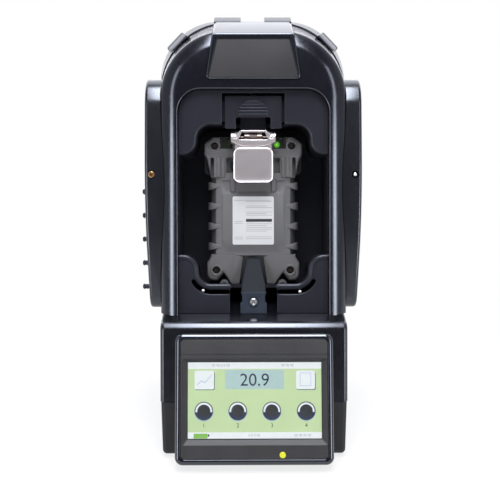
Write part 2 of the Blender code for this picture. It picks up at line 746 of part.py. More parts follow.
def join(body, *tools):
    """Fuse each tool to a body."""
    for tool in tools:
        combine(body, tool, "UNION")


def plane_y(depth, height):
    """Return the world y of the leaning plane at a depth, at a world height."""
    return LEAN_ORIGIN_Y + depth / math.cos(LEAN) + height * math.tan(LEAN)


def depth_at(world_y, height):
    """Return the leaning depth of a world y, at a height along the lean."""
    return (world_y - LEAN_ORIGIN_Y - height * math.sin(LEAN)) / math.cos(LEAN)


def arch(half_width, top, corner):
    """Return the outline of the upright."""
    return rounded([
        (-half_width, SHELL_FOOT, 0.0),
        (half_width, SHELL_FOOT, 0.0),
        (half_width, top, corner),
        (-half_width, top, corner),
    ])


def arch_at(depth, grow=0.0):
    """Return the outline of the front shell's flared outside at a depth."""
    share = (depth - ROLL_DEPTH) / (SHELL_DEPTH - ROLL_DEPTH)
    flare = SHELL_FLARE * share
    whole = arch(SHELL_HALF_WIDTH + flare, SHELL_TOP + SHELL_RISE * share, SHELL_CORNER + flare)
    return grown(whole, grow)


def shell_rings(last_depth, grow=0.0):
    """Return the rings of the front shell's outside, rolled at the front, on to a last depth."""
    rings = []
    for step in range(ROLL_STEPS):
        angle = math.pi / 2 * step / ROLL_STEPS
        inset = ROLL_WIDTH * (1.0 - math.sin(angle))
        depth = ROLL_DEPTH * (1.0 - math.cos(angle))
        rings.append(at_depth(grown(arch_at(ROLL_DEPTH), grow - inset), depth - grow))
    rings.append(at_depth(arch_at(ROLL_DEPTH, grow), ROLL_DEPTH))
    rings.append(at_depth(arch_at(last_depth, grow), last_depth))
    return rings


def rear_outline():
    """Return the outline of the rear shell, a small step outside the front shell."""
    return arch_at(SHELL_DEPTH, REAR_STEP)


def rim_outline():
    """Return the outline of the cradle opening, which runs down past the deck."""
    return rounded([
        (-RIM_HALF_WIDTH, SHELL_FOOT - OVERCUT, 0.0),
        (RIM_HALF_WIDTH, SHELL_FOOT - OVERCUT, 0.0),
        (RIM_HALF_WIDTH, RIM_TOP, RIM_CORNER),
        (-RIM_HALF_WIDTH, RIM_TOP, RIM_CORNER),
    ])


def hood_outline(depth, grow=0.0):
    """Return the outline of the hood at a depth, as its top rises towards the back."""
    share = (depth + HOOD_PROUD) / (SHELL_DEPTH + HOOD_PROUD)
    top = HOOD_TOP + HOOD_RISE * share
    corners = grown([
        Vector((-HOOD_HALF_BOTTOM, HOOD_BOTTOM)),
        Vector((HOOD_HALF_BOTTOM, HOOD_BOTTOM)),
        Vector((HOOD_HALF_TOP, top)),
        Vector((-HOOD_HALF_TOP, top)),
    ], grow)
    radius = max(0.0, HOOD_CORNER + grow)
    return rounded([(corner.x, corner.y, radius) for corner in corners])


def below_deck(stand):
    """Return the tool that trims the upright level with the deck."""
    return box("deck_trim", (-REACH, -REACH, -REACH), (REACH, REACH, DECK_Z + GAP), stand)


def make_front_shell(stand, lean, materials):
    """Make the arch with its rolled edge, hollow behind, open for the cradle and notched for the hood."""
    shell = skin("front_shell", shell_rings(SHELL_DEPTH), lean, materials["gloss_black"])
    past = SHELL_DEPTH + OVERCUT
    hollow_front = ROLL_DEPTH + WALL
    hollow = skin("shell_hollow", [
        at_depth(arch_at(hollow_front, -WALL), hollow_front),
        at_depth(arch_at(past, -WALL), past),
    ], lean)
    kept = prism("rim_wall", grown(rim_outline(), WALL), 0.0, 2 * SHELL_DEPTH, lean)
    cut(hollow, kept)
    opening = prism("rim_opening", rim_outline(), -OVERCUT, past, lean)
    notch = skin("hood_notch", [
        at_depth(hood_outline(-HOOD_PROUD - OVERCUT, GAP), -HOOD_PROUD - OVERCUT),
        at_depth(hood_outline(past, GAP), past),
    ], lean)
    cut(shell, hollow, opening, notch, below_deck(stand))


def make_rear_shell(stand, lean, materials):
    """Make the hollow back of the upright, with lugs on top, shoulder pads and vents."""
    outline = rear_outline()
    front = SHELL_DEPTH + GAP
    past = 3 * SHELL_DEPTH
    shell = prism("rear_shell", outline, front, past, lean, materials["satin_black"])
    top = SHELL_TOP + SHELL_RISE + REAR_STEP
    for side in (-1, 1):
        edges = sorted((side * LUG_INNER, side * (LUG_INNER + LUG_WIDTH)))
        join(shell, box(
            "lug",
            (edges[0], front + LUG_SETBACK, top - 2 * WALL),
            (edges[1], front + LUG_SETBACK + LUG_LENGTH, top + LUG_HEIGHT),
            lean,
        ))
        join(shell, make_shoulder(side, front, top, lean))
    hollow = prism("rear_hollow", grown(outline, -WALL), front - OVERCUT, past + OVERCUT, lean)
    cut(hollow, box("rear_wall", (-REACH, BACK_Y - WALL, 0.0), (REACH, REACH, REACH), stand))
    behind = box("behind_back", (-REACH, BACK_Y, 0.0), (REACH, REACH, REACH), stand)
    cut(shell, hollow, behind, below_deck(stand))
    for index in range(VENT_COUNT):
        middle = (index - (VENT_COUNT - 1) / 2) * VENT_PITCH
        cut(shell, box(
            "vent",
            (middle - VENT_WIDTH / 2, BACK_Y - 2 * WALL, VENT_LOW_Z),
            (middle + VENT_WIDTH / 2, BACK_Y + OVERCUT, VENT_HIGH_Z),
            stand,
        ))


def make_shoulder(side, front, top, lean):
    """Return one raised pad on a shoulder of the arch, square to its curve."""
    radius = SHELL_CORNER + SHELL_FLARE + REAR_STEP
    centre = Vector((REAR_HALF_WIDTH - radius, top - radius))
    outward = Vector((math.cos(SHOULDER_ANGLE), math.sin(SHOULDER_ANGLE)))
    along = Vector((-outward.y, outward.x)) * (SHOULDER_LENGTH / 2)
    low = centre + outward * (radius - SHOULDER_ROOT)
    high = centre + outward * (radius + SHOULDER_PROUD)
    corners = [low - along, high - along, high + along, low + along]
    outline = [Vector((side * corner.x, corner.y)) for corner in corners]
    return prism("shoulder", outline, front, front + SHOULDER_DEPTH, lean)


def make_hood(lean, materials):
    """Make the hood on the arch, hollow behind, and the plain plate let into its front."""
    hood = skin("top_hood", [
        at_depth(hood_outline(-HOOD_PROUD), -HOOD_PROUD),
        at_depth(hood_outline(SHELL_DEPTH), SHELL_DEPTH),
    ], lean, materials["gloss_black"])
    past = SHELL_DEPTH + OVERCUT
    hollow_front = HOOD_PROUD + WALL
    hollow = skin("hood_hollow", [
        at_depth(hood_outline(hollow_front, -WALL), hollow_front),
        at_depth(hood_outline(past, -WALL), past),
    ], lean)
    outline = rounded([
        (-PLATE_HALF_BOTTOM, PLATE_BOTTOM, PLATE_CORNER),
        (PLATE_HALF_BOTTOM, PLATE_BOTTOM, PLATE_CORNER),
        (PLATE_HALF_TOP, PLATE_TOP, PLATE_CORNER),
        (-PLATE_HALF_TOP, PLATE_TOP, PLATE_CORNER),
    ])
    plate_front = GAP - HOOD_PROUD
    plate_back = plate_front + PLATE_THICKNESS
    recess = prism("plate_recess", grown(outline, GAP), -HOOD_PROUD - OVERCUT, plate_back + GAP, lean)
    cut(hood, hollow, recess)
    prism("name_plate", outline, plate_front, plate_back, lean, materials["charcoal"])


def pocket_outline():
    """Return the cradle pocket's outline: wide at half height, drawn in by S-curves above and below."""
    curve = pocket_curve()
    return mirrored([
        (POCKET_HALF_NARROW, POCKET_LOW, curve),
        (POCKET_HALF_NARROW, POCKET_WIDE_LOW, curve),
        (POCKET_HALF_WIDE, POCKET_WIDE_LOW, 0.0),
        (POCKET_HALF_WIDE, POCKET_WIDE_HIGH, 0.0),
        (POCKET_HALF_NARROW, POCKET_WIDE_HIGH, curve),
        (POCKET_HALF_NARROW, POCKET_HIGH, curve),
    ])


def make_cradle_pan(stand, lean, materials):
    """Make the panel with its deep pocket, the window and rails of the latch and the slot of the nose."""
    panel_back = PANEL_DEPTH + PANEL_THICKNESS
    panel = grown(rim_outline(), -GAP)
    pan = prism("cradle_pan", panel, PANEL_DEPTH, panel_back, lean, materials["satin_black"])
    inside = pocket_outline()
    inside_panel = PANEL_DEPTH + OVERCUT
    join(pan, prism("pocket_wall", grown(inside, WALL), inside_panel, POCKET_BACK + WALL, lean))
    slot_half = SLOT_HALF_WIDTH + WALL
    join(pan, box(
        "slot_wall",
        (-slot_half, inside_panel, SHELL_FOOT),
        (slot_half, SLOT_BACK + WALL, POCKET_LOW - OVERCUT),
        lean,
    ))
    rail_inner = LATCH_HALF_WIDTH + LATCH_WING + GAP
    wing_low, wing_high = wing_heights()
    for side in (-1, 1):
        edges = sorted((side * rail_inner, side * (rail_inner + RAIL_WIDTH)))
        join(pan, box(
            "rail",
            (edges[0], inside_panel, wing_low),
            (edges[1], latch_depths()[1] + LATCH_WING_THICKNESS, wing_high),
            lean,
        ))
    window_half = LATCH_HALF_WIDTH + LATCH_SIDE_GAP
    thread = SCREW_SHANK_RADIUS + GAP
    cut(
        pan,
        prism("pocket_hollow", inside, -OVERCUT, POCKET_BACK, lean),
        box(
            "latch_window",
            (-window_half, -OVERCUT, POCKET_HIGH - 2 * OVERCUT),
            (window_half, LATCH_WINDOW_BACK, LATCH_HIGH + LATCH_TOP_GAP),
            lean,
        ),
        box(
            "nose_slot",
            (-SLOT_HALF_WIDTH, -OVERCUT, SHELL_FOOT - OVERCUT),
            (SLOT_HALF_WIDTH, SLOT_BACK, POCKET_LOW + OVERCUT),
            lean,
        ),
        box(
            "cup_opening",
            (-CUP_HALF_WIDTH - GAP, POCKET_BACK - OVERCUT, CUP_LOW - GAP),
            (CUP_HALF_WIDTH + GAP, POCKET_BACK + 2 * WALL, CUP_HIGH + GAP),
            lean,
        ),
        turned(
            "nose_thread",
            [(SLOT_BACK - OVERCUT, thread), (SLOT_BACK + 2 * WALL, thread)],
            1, (0.0, 0.0, SCREW_HEIGHT), lean, sides=SMALL_SIDES,
        ),
        below_deck(stand),
    )
    for name, side in (("rest_pad_left", -1), ("rest_pad_right", 1)):
        foot = Vector((side * PAD_X, POCKET_LOW + GAP))
        outline = []
        for step in range(2 * ARC_STEPS + 1):
            angle = math.pi * step / (2 * ARC_STEPS)
            outline.append(foot + Vector((math.cos(angle), math.sin(angle))) * PAD_RADIUS)
        prism(name, outline, PAD_FRONT, PAD_FRONT + PAD_LENGTH, lean, materials["rubber"])


def latch_depths():
    """Return the front and back depth of the latch plate, which slides behind the panel."""
    front = PANEL_DEPTH + PANEL_THICKNESS + LATCH_SETBACK
    return front, front + LATCH_THICKNESS


def wing_heights():
    """Return the lower and upper end of the latch's wings."""
    middle = (LATCH_LOW + LATCH_HIGH) / 2 + OVERCUT
    return middle - LATCH_WING_HEIGHT / 2, middle + LATCH_WING_HEIGHT / 2


def make_latch(lean, materials):
    """Make the sliding latch: plate with a half-round grip, guide wings, and an arm with a nib behind."""
    front, back = latch_depths()
    latch_joint = add_joint("latch_joint", lean, (0.0, front, LATCH_LOW))
    latch = box(
        "release_latch",
        (-LATCH_HALF_WIDTH, front, LATCH_LOW),
        (LATCH_HALF_WIDTH, back, LATCH_HIGH),
        latch_joint,
        materials["satin_black"],
    )
    inside = back - OVERCUT
    wing_half = LATCH_HALF_WIDTH + LATCH_WING
    wing_low, wing_high = wing_heights()
    wing_back = back + LATCH_WING_THICKNESS
    half = NIB_HALF_WIDTH
    join(
        latch,
        box("wings", (-wing_half, back + GAP, wing_low), (wing_half, wing_back, wing_high), latch_joint),
        box("arm", (-half, inside, ARM_LOW), (half, NIB_BACK, ARM_HIGH), latch_joint),
        box("nib", (-half, NIB_FRONT, NIB_LOW), (half, NIB_BACK, ARM_LOW + OVERCUT), latch_joint),
    )
    grip_low = LATCH_LOW + THUMB_HEIGHT
    grip = rounded([
        (-GRIP_HALF_WIDTH, grip_low, 0.0),
        (GRIP_HALF_WIDTH, grip_low, 0.0),
        (GRIP_HALF_WIDTH, grip_low + GRIP_HEIGHT, GRIP_HALF_WIDTH - OVERCUT),
        (-GRIP_HALF_WIDTH, grip_low + GRIP_HEIGHT, GRIP_HALF_WIDTH - OVERCUT),
    ])
    join(latch, prism("grip", grip, front - GRIP_PROUD, front + OVERCUT, latch_joint))
    cut(latch, box(
        "thumb_opening",
        (-THUMB_HALF_WIDTH, front - OVERCUT, LATCH_LOW - OVERCUT),
        (THUMB_HALF_WIDTH, wing_back + OVERCUT, grip_low),
        latch_joint,
    ))
    make_latch_spring(lean, materials)


def make_latch_spring(lean, materials):
    """Make the coil that returns the latch, between its arm and the top of the cradle opening."""
    low = ARM_HIGH + GAP + SPRING_WIRE
    high = RIM_TOP - GAP - SPRING_WIRE
    curve = bpy.data.curves.new("latch_spring", "CURVE")
    curve.dimensions = "3D"
    curve.bevel_depth = SPRING_WIRE
    curve.bevel_resolution = 1
    curve.use_fill_caps = True
    line = curve.splines.new("POLY")
    count = SPRING_TURNS * SPRING_STEPS
    line.points.add(count)
    for index, point in enumerate(line.points):
        angle = math.tau * index / SPRING_STEPS
        place = (
            SPRING_RADIUS * math.cos(angle),
            SPRING_DEPTH + SPRING_RADIUS * math.sin(angle),
            low + (high - low) * index / count,
        )
        point.co = (*place, 1.0)
    curve.materials.append(materials["steel"])
    spring = bpy.data.objects.new("latch_spring", curve)
    bpy.context.scene.collection.objects.link(spring)
    spring.parent = lean.empty
    pitch = (high - low) / SPRING_TURNS
    print(f"latch_spring: least gap between turns {(pitch - 2 * SPRING_WIRE) * 1000:.2f} mm")


def make_nose(stand, lean, materials):
    """Make the charging nose that stands in its slot and reaches into the detector, with its screw."""
    profile = [
        (NOSE_BASE_FRONT, SHELL_FOOT),
        (NOSE_STEP_FRONT, NOSE_STEP),
        (NOSE_TIP_FRONT, NOSE_TIP),
        (NOSE_TIP_BACK, NOSE_TIP),
        (NOSE_TIP_BACK, NOSE_HEEL),
        (SLOT_BACK - GAP, POCKET_LOW),
        (SLOT_BACK - GAP, SHELL_FOOT),
    ]
    half_width = NOSE_HALF_BASE
    nose = side_prism(
        "charge_nose", [Vector(point) for point in profile], -half_width, half_width, lean, materials["slate"]
    )
    for side in (-1, 1):
        cheek = [
            (side * NOSE_HALF_BASE, NOSE_STEP),
            (side * NOSE_HALF_TIP, NOSE_TIP),
            (side * NOSE_HALF_TIP, NOSE_TIP + OVERCUT),
            (side * 2 * NOSE_HALF_BASE, NOSE_TIP + OVERCUT),
            (side * 2 * NOSE_HALF_BASE, NOSE_STEP),
        ]
        cut(nose, prism("cheek", [Vector(point) for point in cheek], 0.0, 2 * SLOT_BACK, lean))
    head_front = NOSE_BASE_FRONT
    head_back = head_front + SCREW_HEAD_DEPTH
    axis_point = (0.0, 0.0, SCREW_HEIGHT)
    bore = SCREW_SHANK_RADIUS + GAP
    sink = SCREW_HEAD_RADIUS + GAP
    contact_high = NOSE_TIP - CONTACT_DROP
    contact_low = contact_high - CONTACT_HEIGHT
    contact_front = NOSE_TIP_BACK - CONTACT_DEPTH
    cut(
        nose,
        turned("screw_bore", [(0.0, bore), (2 * SLOT_BACK, bore)], 1, axis_point, lean, sides=SMALL_SIDES),
        turned("screw_sink", [(0.0, sink), (head_back + GAP, sink)], 1, axis_point, lean),
        box(
            "contact_seat",
            (-CONTACT_HALF_WIDTH - GAP, contact_front - GAP, contact_low - GAP),
            (CONTACT_HALF_WIDTH + GAP, NOSE_TIP_BACK + OVERCUT, contact_high + GAP),
            lean,
        ),
        below_deck(stand),
    )
    turned("nose_screw", [
        (head_front, SCREW_HEAD_RADIUS),
        (head_back, SCREW_HEAD_RADIUS),
        (head_back, SCREW_SHANK_RADIUS),
        (head_front + SCREW_LENGTH, SCREW_SHANK_RADIUS),
    ], 1, axis_point, lean, materials["steel"], SMALL_SIDES)
    box(
        "charge_contact",
        (-CONTACT_HALF_WIDTH, contact_front, contact_low),
        (CONTACT_HALF_WIDTH, NOSE_TIP_BACK, contact_high),
        lean,
        materials["brass"],
    )


def make_flow_cup(lean, materials):
    """Make the cup that feeds gas to the detector's sensors, and the seal on its front edge."""
    cup_back = CUP_FRONT + CUP_LENGTH
    outside = rectangle(CUP_HALF_WIDTH, CUP_LOW, CUP_HIGH)
    inside = grown(outside, -CUP_WALL)
    cup = prism("flow_cup", outside, CUP_FRONT, cup_back, lean, materials["satin_black"])
    cut(cup, prism("cup_hollow", inside, CUP_FRONT - OVERCUT, cup_back - CUP_FLOOR, lean))
    seal_back = CUP_FRONT - GAP
    seal_front = seal_back - SEAL_THICKNESS
    seal = prism("cup_seal", outside, seal_front, seal_back, lean, materials["rubber"])
    cut(seal, prism("seal_hole", inside, seal_front - OVERCUT, seal_back + OVERCUT, lean))


def cover_profile():
    """Return the side profile of a cover: a bulged front edge, a level bottom and an upright back edge."""
    back = BACK_Y - COVER_BACK_INSET
    low_z = COVER_LOW * math.cos(LEAN) - COVER_FRONT_LOW * math.sin(LEAN)
    back_low = (back - LEAN_ORIGIN_Y) * math.sin(LEAN) + low_z * math.cos(LEAN)
    return rounded([
        (COVER_FRONT_LOW, COVER_LOW, COVER_CORNER),
        (depth_at(back, back_low), back_low, COVER_CORNER),
        (depth_at(back, COVER_HIGH), COVER_HIGH, COVER_CORNER),
        (COVER_FRONT_HIGH, COVER_HIGH, COVER_CORNER),
        (COVER_FRONT, COVER_BULGE_HEIGHT, COVER_BULGE_RADIUS),
    ])


def cover_side(height):
    """Return how far a cover's outside stands from the middle at a height, as it draws in downwards."""
    share = max(0.0, (COVER_TAPER_START - height) / (COVER_TAPER_START - COVER_LOW))
    return COVER_OUTER - COVER_TAPER * share**2


def make_cover(name, side, lean, materials):
    """Make one hollow side cover, fitted round the upright, with the hole for its insert."""
    profile = cover_profile()
    edges = sorted((side * COVER_INNER, side * COVER_OUTER))
    cover = side_prism(name, profile, edges[0], edges[1], lean, materials["satin_black"])
    drop = (COVER_TAPER_START - COVER_LOW) / COVER_TAPER_STEPS
    heights = [COVER_TAPER_START - drop * step for step in range(COVER_TAPER_STEPS + 2)]
    taper = [Vector((side * cover_side(height), height)) for height in heights]
    taper.append(Vector((side * 2 * COVER_OUTER, heights[-1])))
    taper.append(Vector((side * 2 * COVER_OUTER, heights[0])))
    hollow_edges = sorted((side * (COVER_INNER - OVERCUT), side * (COVER_OUTER - COVER_TAPER - WALL)))
    cut(
        cover,
        prism("taper", taper, -REACH, REACH, lean),
        side_prism("cover_hollow", grown(profile, -COVER_WALL), hollow_edges[0], hollow_edges[1], lean),
        skin("upright_clearance", shell_rings(SHELL_DEPTH, GAP), lean),
        prism("rear_clearance", grown(rear_outline(), GAP), SHELL_DEPTH - OVERCUT, REACH, lean),
        turned(
            "insert_hole",
            [(-SHELL_DEPTH, INSERT_RADIUS + GAP), (COVER_FRONT + COVER_CORNER, INSERT_RADIUS + GAP)],
            1, (side * INSERT_X, 0.0, INSERT_HEIGHT), lean, sides=SMALL_SIDES,
        ),
    )
    return cover


def make_covers(lean, materials):
    """Make both side covers, the brass insert in the left one and the row of gas ports through it."""
    left = make_cover("side_cover_left", -1, lean, materials)
    make_cover("side_cover_right", 1, lean, materials)
    insert_place = (-INSERT_X, 0.0, INSERT_HEIGHT)
    insert_front = COVER_FRONT + GAP
    insert_back = insert_front + INSERT_LENGTH
    insert = turned(
        "cover_insert", [(insert_front, INSERT_RADIUS), (insert_back, INSERT_RADIUS)],
        1, insert_place, lean, materials["brass"], SMALL_SIDES,
    )
    cut(insert, turned(
        "insert_bore", [(insert_front - OVERCUT, INSERT_BORE), (insert_back + OVERCUT, INSERT_BORE)],
        1, insert_place, lean, sides=SMALL_SIDES,
    ))
    inner_face = COVER_OUTER - COVER_TAPER - WALL - GAP
    port_high = PORT_LOW + PORT_PITCH * (PORT_COUNT - 1)
    ports = box(
        "inlet_port_block",
        (-inner_face, PORT_DEPTH - PORT_BLOCK_DEPTH / 2, PORT_LOW - PORT_BLOCK_MARGIN),
        (PORT_BLOCK_WIDTH - inner_face, PORT_DEPTH + PORT_BLOCK_DEPTH / 2, port_high + PORT_BLOCK_MARGIN),
        lean,
        materials["satin_black"],
    )
    for index in range(PORT_COUNT):
        height = PORT_LOW + PORT_PITCH * index
        place = (0.0, PORT_DEPTH, height)
        join(ports, turned("port", [
            (-PORT_REACH, PORT_RADIUS),
            (OVERCUT - PORT_REACH, PORT_BARB_RADIUS),
            (OVERCUT + PORT_RADIUS - PORT_REACH, PORT_RADIUS),
            (OVERCUT - inner_face, PORT_RADIUS),
        ], 0, place, lean, sides=SMALL_SIDES))
        hole = PORT_RADIUS + PORT_WALL_GAP
        cut(left, turned(
            "port_hole", [(-2 * COVER_OUTER, hole), (-inner_face, hole)], 0, place, lean, sides=SMALL_SIDES,
        ))


def make_base_housing(stand, materials):
    """Make the upper half of the base, open below, with the deck that the upright stands on."""
    spare = BASE_SPLIT_Z - 2 * BASE_EDGE
    housing = soft_side_prism("base_housing", rounded([
        (plane_y(-BASE_PROUD, spare), spare, 0.0),
        (BACK_Y, spare, 0.0),
        (BACK_Y, DECK_Z, DECK_NOSING),
        (plane_y(-BASE_PROUD, DECK_Z), DECK_Z, DECK_NOSING),
    ]), BASE_HALF_WIDTH, BASE_EDGE, stand, materials["gloss_black"])
    cut(housing, box("split_below", (-REACH, -REACH, -REACH), (REACH, REACH, BASE_SPLIT_Z), stand))
    below = BASE_SPLIT_Z - OVERCUT
    ceiling = DECK_Z - WALL
    front = WALL - BASE_PROUD
    inner_half = BASE_HALF_WIDTH - WALL
    hollow = side_prism("base_hollow", [
        Vector((plane_y(front, below), below)),
        Vector((BACK_Y - WALL, below)),
        Vector((BACK_Y - WALL, ceiling)),
        Vector((plane_y(front, ceiling), ceiling)),
    ], -inner_half, inner_half, stand)
    deck_hole = box(
        "deck_hole",
        (-DECK_HOLE_HALF, DECK_HOLE_FRONT, ceiling - OVERCUT),
        (DECK_HOLE_HALF, DECK_HOLE_BACK, DECK_Z + OVERCUT),
        stand,
    )
    cut(housing, hollow, deck_hole)
    for middle, size in ((POWER_X, POWER_SIZE), (NETWORK_X, NETWORK_SIZE)):
        cut(housing, box(
            "jack_seat",
            (middle - size[0] / 2 - GAP, BACK_Y - 2 * WALL, JACK_Z - size[2] / 2 - GAP),
            (middle + size[0] / 2 + GAP, BACK_Y + OVERCUT, JACK_Z + size[2] / 2 + GAP),
            stand,
        ))


def make_jack(name, middle, size, stand, materials):
    """Return one socket's body in the back wall of the base."""
    return box(
        name,
        (middle - size[0] / 2, BACK_Y - size[1], JACK_Z - size[2] / 2),
        (middle + size[0] / 2, BACK_Y, JACK_Z + size[2] / 2),
        stand,
        materials["satin_black"],
    )


def make_jacks(stand, materials):
    """Make the power socket with its round bore and the network socket with its square mouth."""
    past = BACK_Y + OVERCUT
    power = make_jack("power_jack", POWER_X, POWER_SIZE, stand, materials)
    bore = [(BACK_Y - POWER_BORE_DEPTH, POWER_BORE), (past, POWER_BORE)]
    cut(power, turned("power_bore", bore, 1, (POWER_X, 0.0, JACK_Z), stand, sides=SMALL_SIDES))
    network = make_jack("network_jack", NETWORK_X, NETWORK_SIZE, stand, materials)
    width, depth, height = NETWORK_MOUTH
    cut(network, box(
        "network_mouth",
        (NETWORK_X - width / 2, BACK_Y - depth, JACK_Z - height / 2),
        (NETWORK_X + width / 2, past, JACK_Z + height / 2),
        stand,
    ))


def make_base_tray(stand, materials):
    """Make the lower half of the base, open above, with posts for the board, and its four feet."""
    top = BASE_SPLIT_Z - GAP
    spare = top + 2 * TRAY_EDGE
    corner = TRAY_EDGE + OVERCUT
    tray = soft_side_prism("base_tray", rounded([
        (plane_y(-BASE_PROUD, TRAY_LOW_Z), TRAY_LOW_Z, corner),
        (BACK_Y, TRAY_LOW_Z, corner),
        (BACK_Y, spare, 0.0),
        (plane_y(-BASE_PROUD, spare), spare, 0.0),
    ]), TRAY_HALF_WIDTH, TRAY_EDGE, stand, materials["charcoal"])
    cut(tray, box("split_above", (-REACH, -REACH, top), (REACH, REACH, REACH), stand))
    floor = TRAY_LOW_Z + WALL
    above = top + OVERCUT
    front = WALL - BASE_PROUD
    inner_half = TRAY_HALF_WIDTH - WALL
    cut(tray, side_prism("tray_hollow", [
        Vector((plane_y(front, floor), floor)),
        Vector((BACK_Y - WALL, floor)),
        Vector((BACK_Y - WALL, above)),
        Vector((plane_y(front, above), above)),
    ], -inner_half, inner_half, stand))
    for across in (POST_INSET - BOARD_HALF_WIDTH, BOARD_HALF_WIDTH - POST_INSET):
        for deep in (BOARD_FRONT_Y + POST_INSET, BOARD_BACK_Y - POST_INSET):
            join(tray, turned(
                "post", [(TRAY_LOW_Z + OVERCUT, POST_RADIUS), (BOARD_Z - GAP, POST_RADIUS)],
                2, (across, deep, 0.0), stand, sides=SMALL_SIDES,
            ))
    for end, deep in (("front", FOOT_FRONT_Y), ("back", FOOT_BACK_Y)):
        for hand, across in (("left", -FOOT_X), ("right", FOOT_X)):
            turned(
                f"foot_{end}_{hand}",
                [(0.0, FOOT_RADIUS - FOOT_CHAMFER), (FOOT_CHAMFER, FOOT_RADIUS), (FOOT_HEIGHT, FOOT_RADIUS)],
                2, (across, deep, 0.0), stand, materials["rubber"],
            )


def make_workings(stand, materials):
    """Make the control board, the gas pump and the valve block that stand on the tray."""
    floor = TRAY_LOW_Z + WALL + GAP
    box(
        "main_board",
        (-BOARD_HALF_WIDTH, BOARD_FRONT_Y, BOARD_Z),
        (BOARD_HALF_WIDTH, BOARD_BACK_Y, BOARD_Z + BOARD_THICKNESS),
        stand,
        materials["board_green"],
    )
    pump_top = floor + PUMP_SIZE[2]
    pump = box(
        "gas_pump",
        (PUMP_X - PUMP_SIZE[0] / 2, WORKINGS_Y - PUMP_SIZE[1] / 2, floor),
        (PUMP_X + PUMP_SIZE[0] / 2, WORKINGS_Y + PUMP_SIZE[1] / 2, pump_top),
        stand,
        materials["aluminium"],
    )
    head = [(pump_top - OVERCUT, PUMP_HEAD_RADIUS), (pump_top + PUMP_HEAD_HEIGHT, PUMP_HEAD_RADIUS)]
    join(pump, turned("pump_head", head, 2, (PUMP_X, WORKINGS_Y, 0.0), stand))
    block_top = floor + MANIFOLD_SIZE[2]
    block = box(
        "valve_manifold",
        (MANIFOLD_X - MANIFOLD_SIZE[0] / 2, WORKINGS_Y - MANIFOLD_SIZE[1] / 2, floor),
        (MANIFOLD_X + MANIFOLD_SIZE[0] / 2, WORKINGS_Y + MANIFOLD_SIZE[1] / 2, block_top),
        stand,
        materials["aluminium"],
    )
    for index in range(PORT_COUNT):
        across = MANIFOLD_X + (index - (PORT_COUNT - 1) / 2) * MANIFOLD_SIZE[0] / PORT_COUNT
        valve = [(block_top - OVERCUT, VALVE_RADIUS), (block_top + VALVE_HEIGHT, VALVE_RADIUS)]
        join(block, turned("valve", valve, 2, (across, WORKINGS_Y, 0.0), stand, sides=SMALL_SIDES))


def make_screen(stand, lean, screen, materials):
    """Make the sloped pod with its rim, inner plate, glass, display and status light."""
    outline = rectangle(POD_HALF_WIDTH, 0.0, POD_HEIGHT, POD_CORNER)
    pod = skin("screen_bezel", [
        at_depth(grown(outline, -BEZEL_EDGE), 0.0),
        at_depth(outline, BEZEL_EDGE),
        at_depth(outline, POD_LENGTH),
    ], screen, materials["gloss_black"])
    plate_half = POD_HALF_WIDTH - BEZEL_RIM - GAP
    plate_outline = rectangle(plate_half, BEZEL_RIM + GAP, POD_HEIGHT - BEZEL_RIM - GAP, FRONT_PLATE_CORNER)
    plate_front = FRONT_PLATE_SETBACK
    plate_back = plate_front + FRONT_PLATE_THICKNESS
    glass_front = plate_back + GAP
    glass_back = glass_front + GLASS_THICKNESS
    display_front = glass_back + GAP
    window = rectangle(WINDOW_HALF_WIDTH, WINDOW_LOW, WINDOW_HIGH)
    glass_outline = grown(window, GLASS_MARGIN)
    display_outline = rectangle(DISPLAY_HALF_WIDTH, WINDOW_LOW + DISPLAY_MARGIN, WINDOW_HIGH - DISPLAY_MARGIN)
    led_place = (LED_X, 0.0, LED_HEIGHT)
    led_bore = LED_RADIUS + GAP
    led_back = LED_LENGTH - LED_PROUD
    led_drill = [(-OVERCUT, led_bore), (led_back + GAP, led_bore)]
    hollow = rectangle(POD_HALF_WIDTH - WALL, POD_HOLLOW_LOW, POD_HEIGHT - WALL)
    cut(
        pod,
        prism("plate_seat", grown(plate_outline, GAP), -OVERCUT, glass_front, screen),
        prism("glass_seat", grown(glass_outline, GAP), 0.0, POD_FRONT_WALL + OVERCUT, screen),
        prism("pod_hollow", hollow, POD_FRONT_WALL, 2 * POD_LENGTH, screen),
        turned("led_bore", led_drill, 1, led_place, screen, sides=SMALL_SIDES),
        box("base_front", (-REACH, -BASE_PROUD - GAP, -REACH), (REACH, REACH, REACH), lean),
        box("under_pod", (-REACH, -REACH, -REACH), (REACH, REACH, POD_LOW_Z), stand),
    )
    plate = prism("front_plate", plate_outline, plate_front, plate_back, screen, materials["charcoal"])
    cut(
        plate,
        prism("plate_window", window, -OVERCUT, plate_back + OVERCUT, screen),
        turned("led_hole", led_drill, 1, led_place, screen, sides=SMALL_SIDES),
    )
    prism("touch_glass", glass_outline, glass_front, glass_back, screen, materials["clear_glass"])
    display_back = display_front + DISPLAY_THICKNESS
    prism("display_panel", display_outline, display_front, display_back, screen, materials["screen_green"])
    turned(
        "status_led", [(-LED_PROUD, LED_RADIUS), (led_back, LED_RADIUS)],
        1, led_place, screen, materials["light_amber"], SMALL_SIDES,
    )


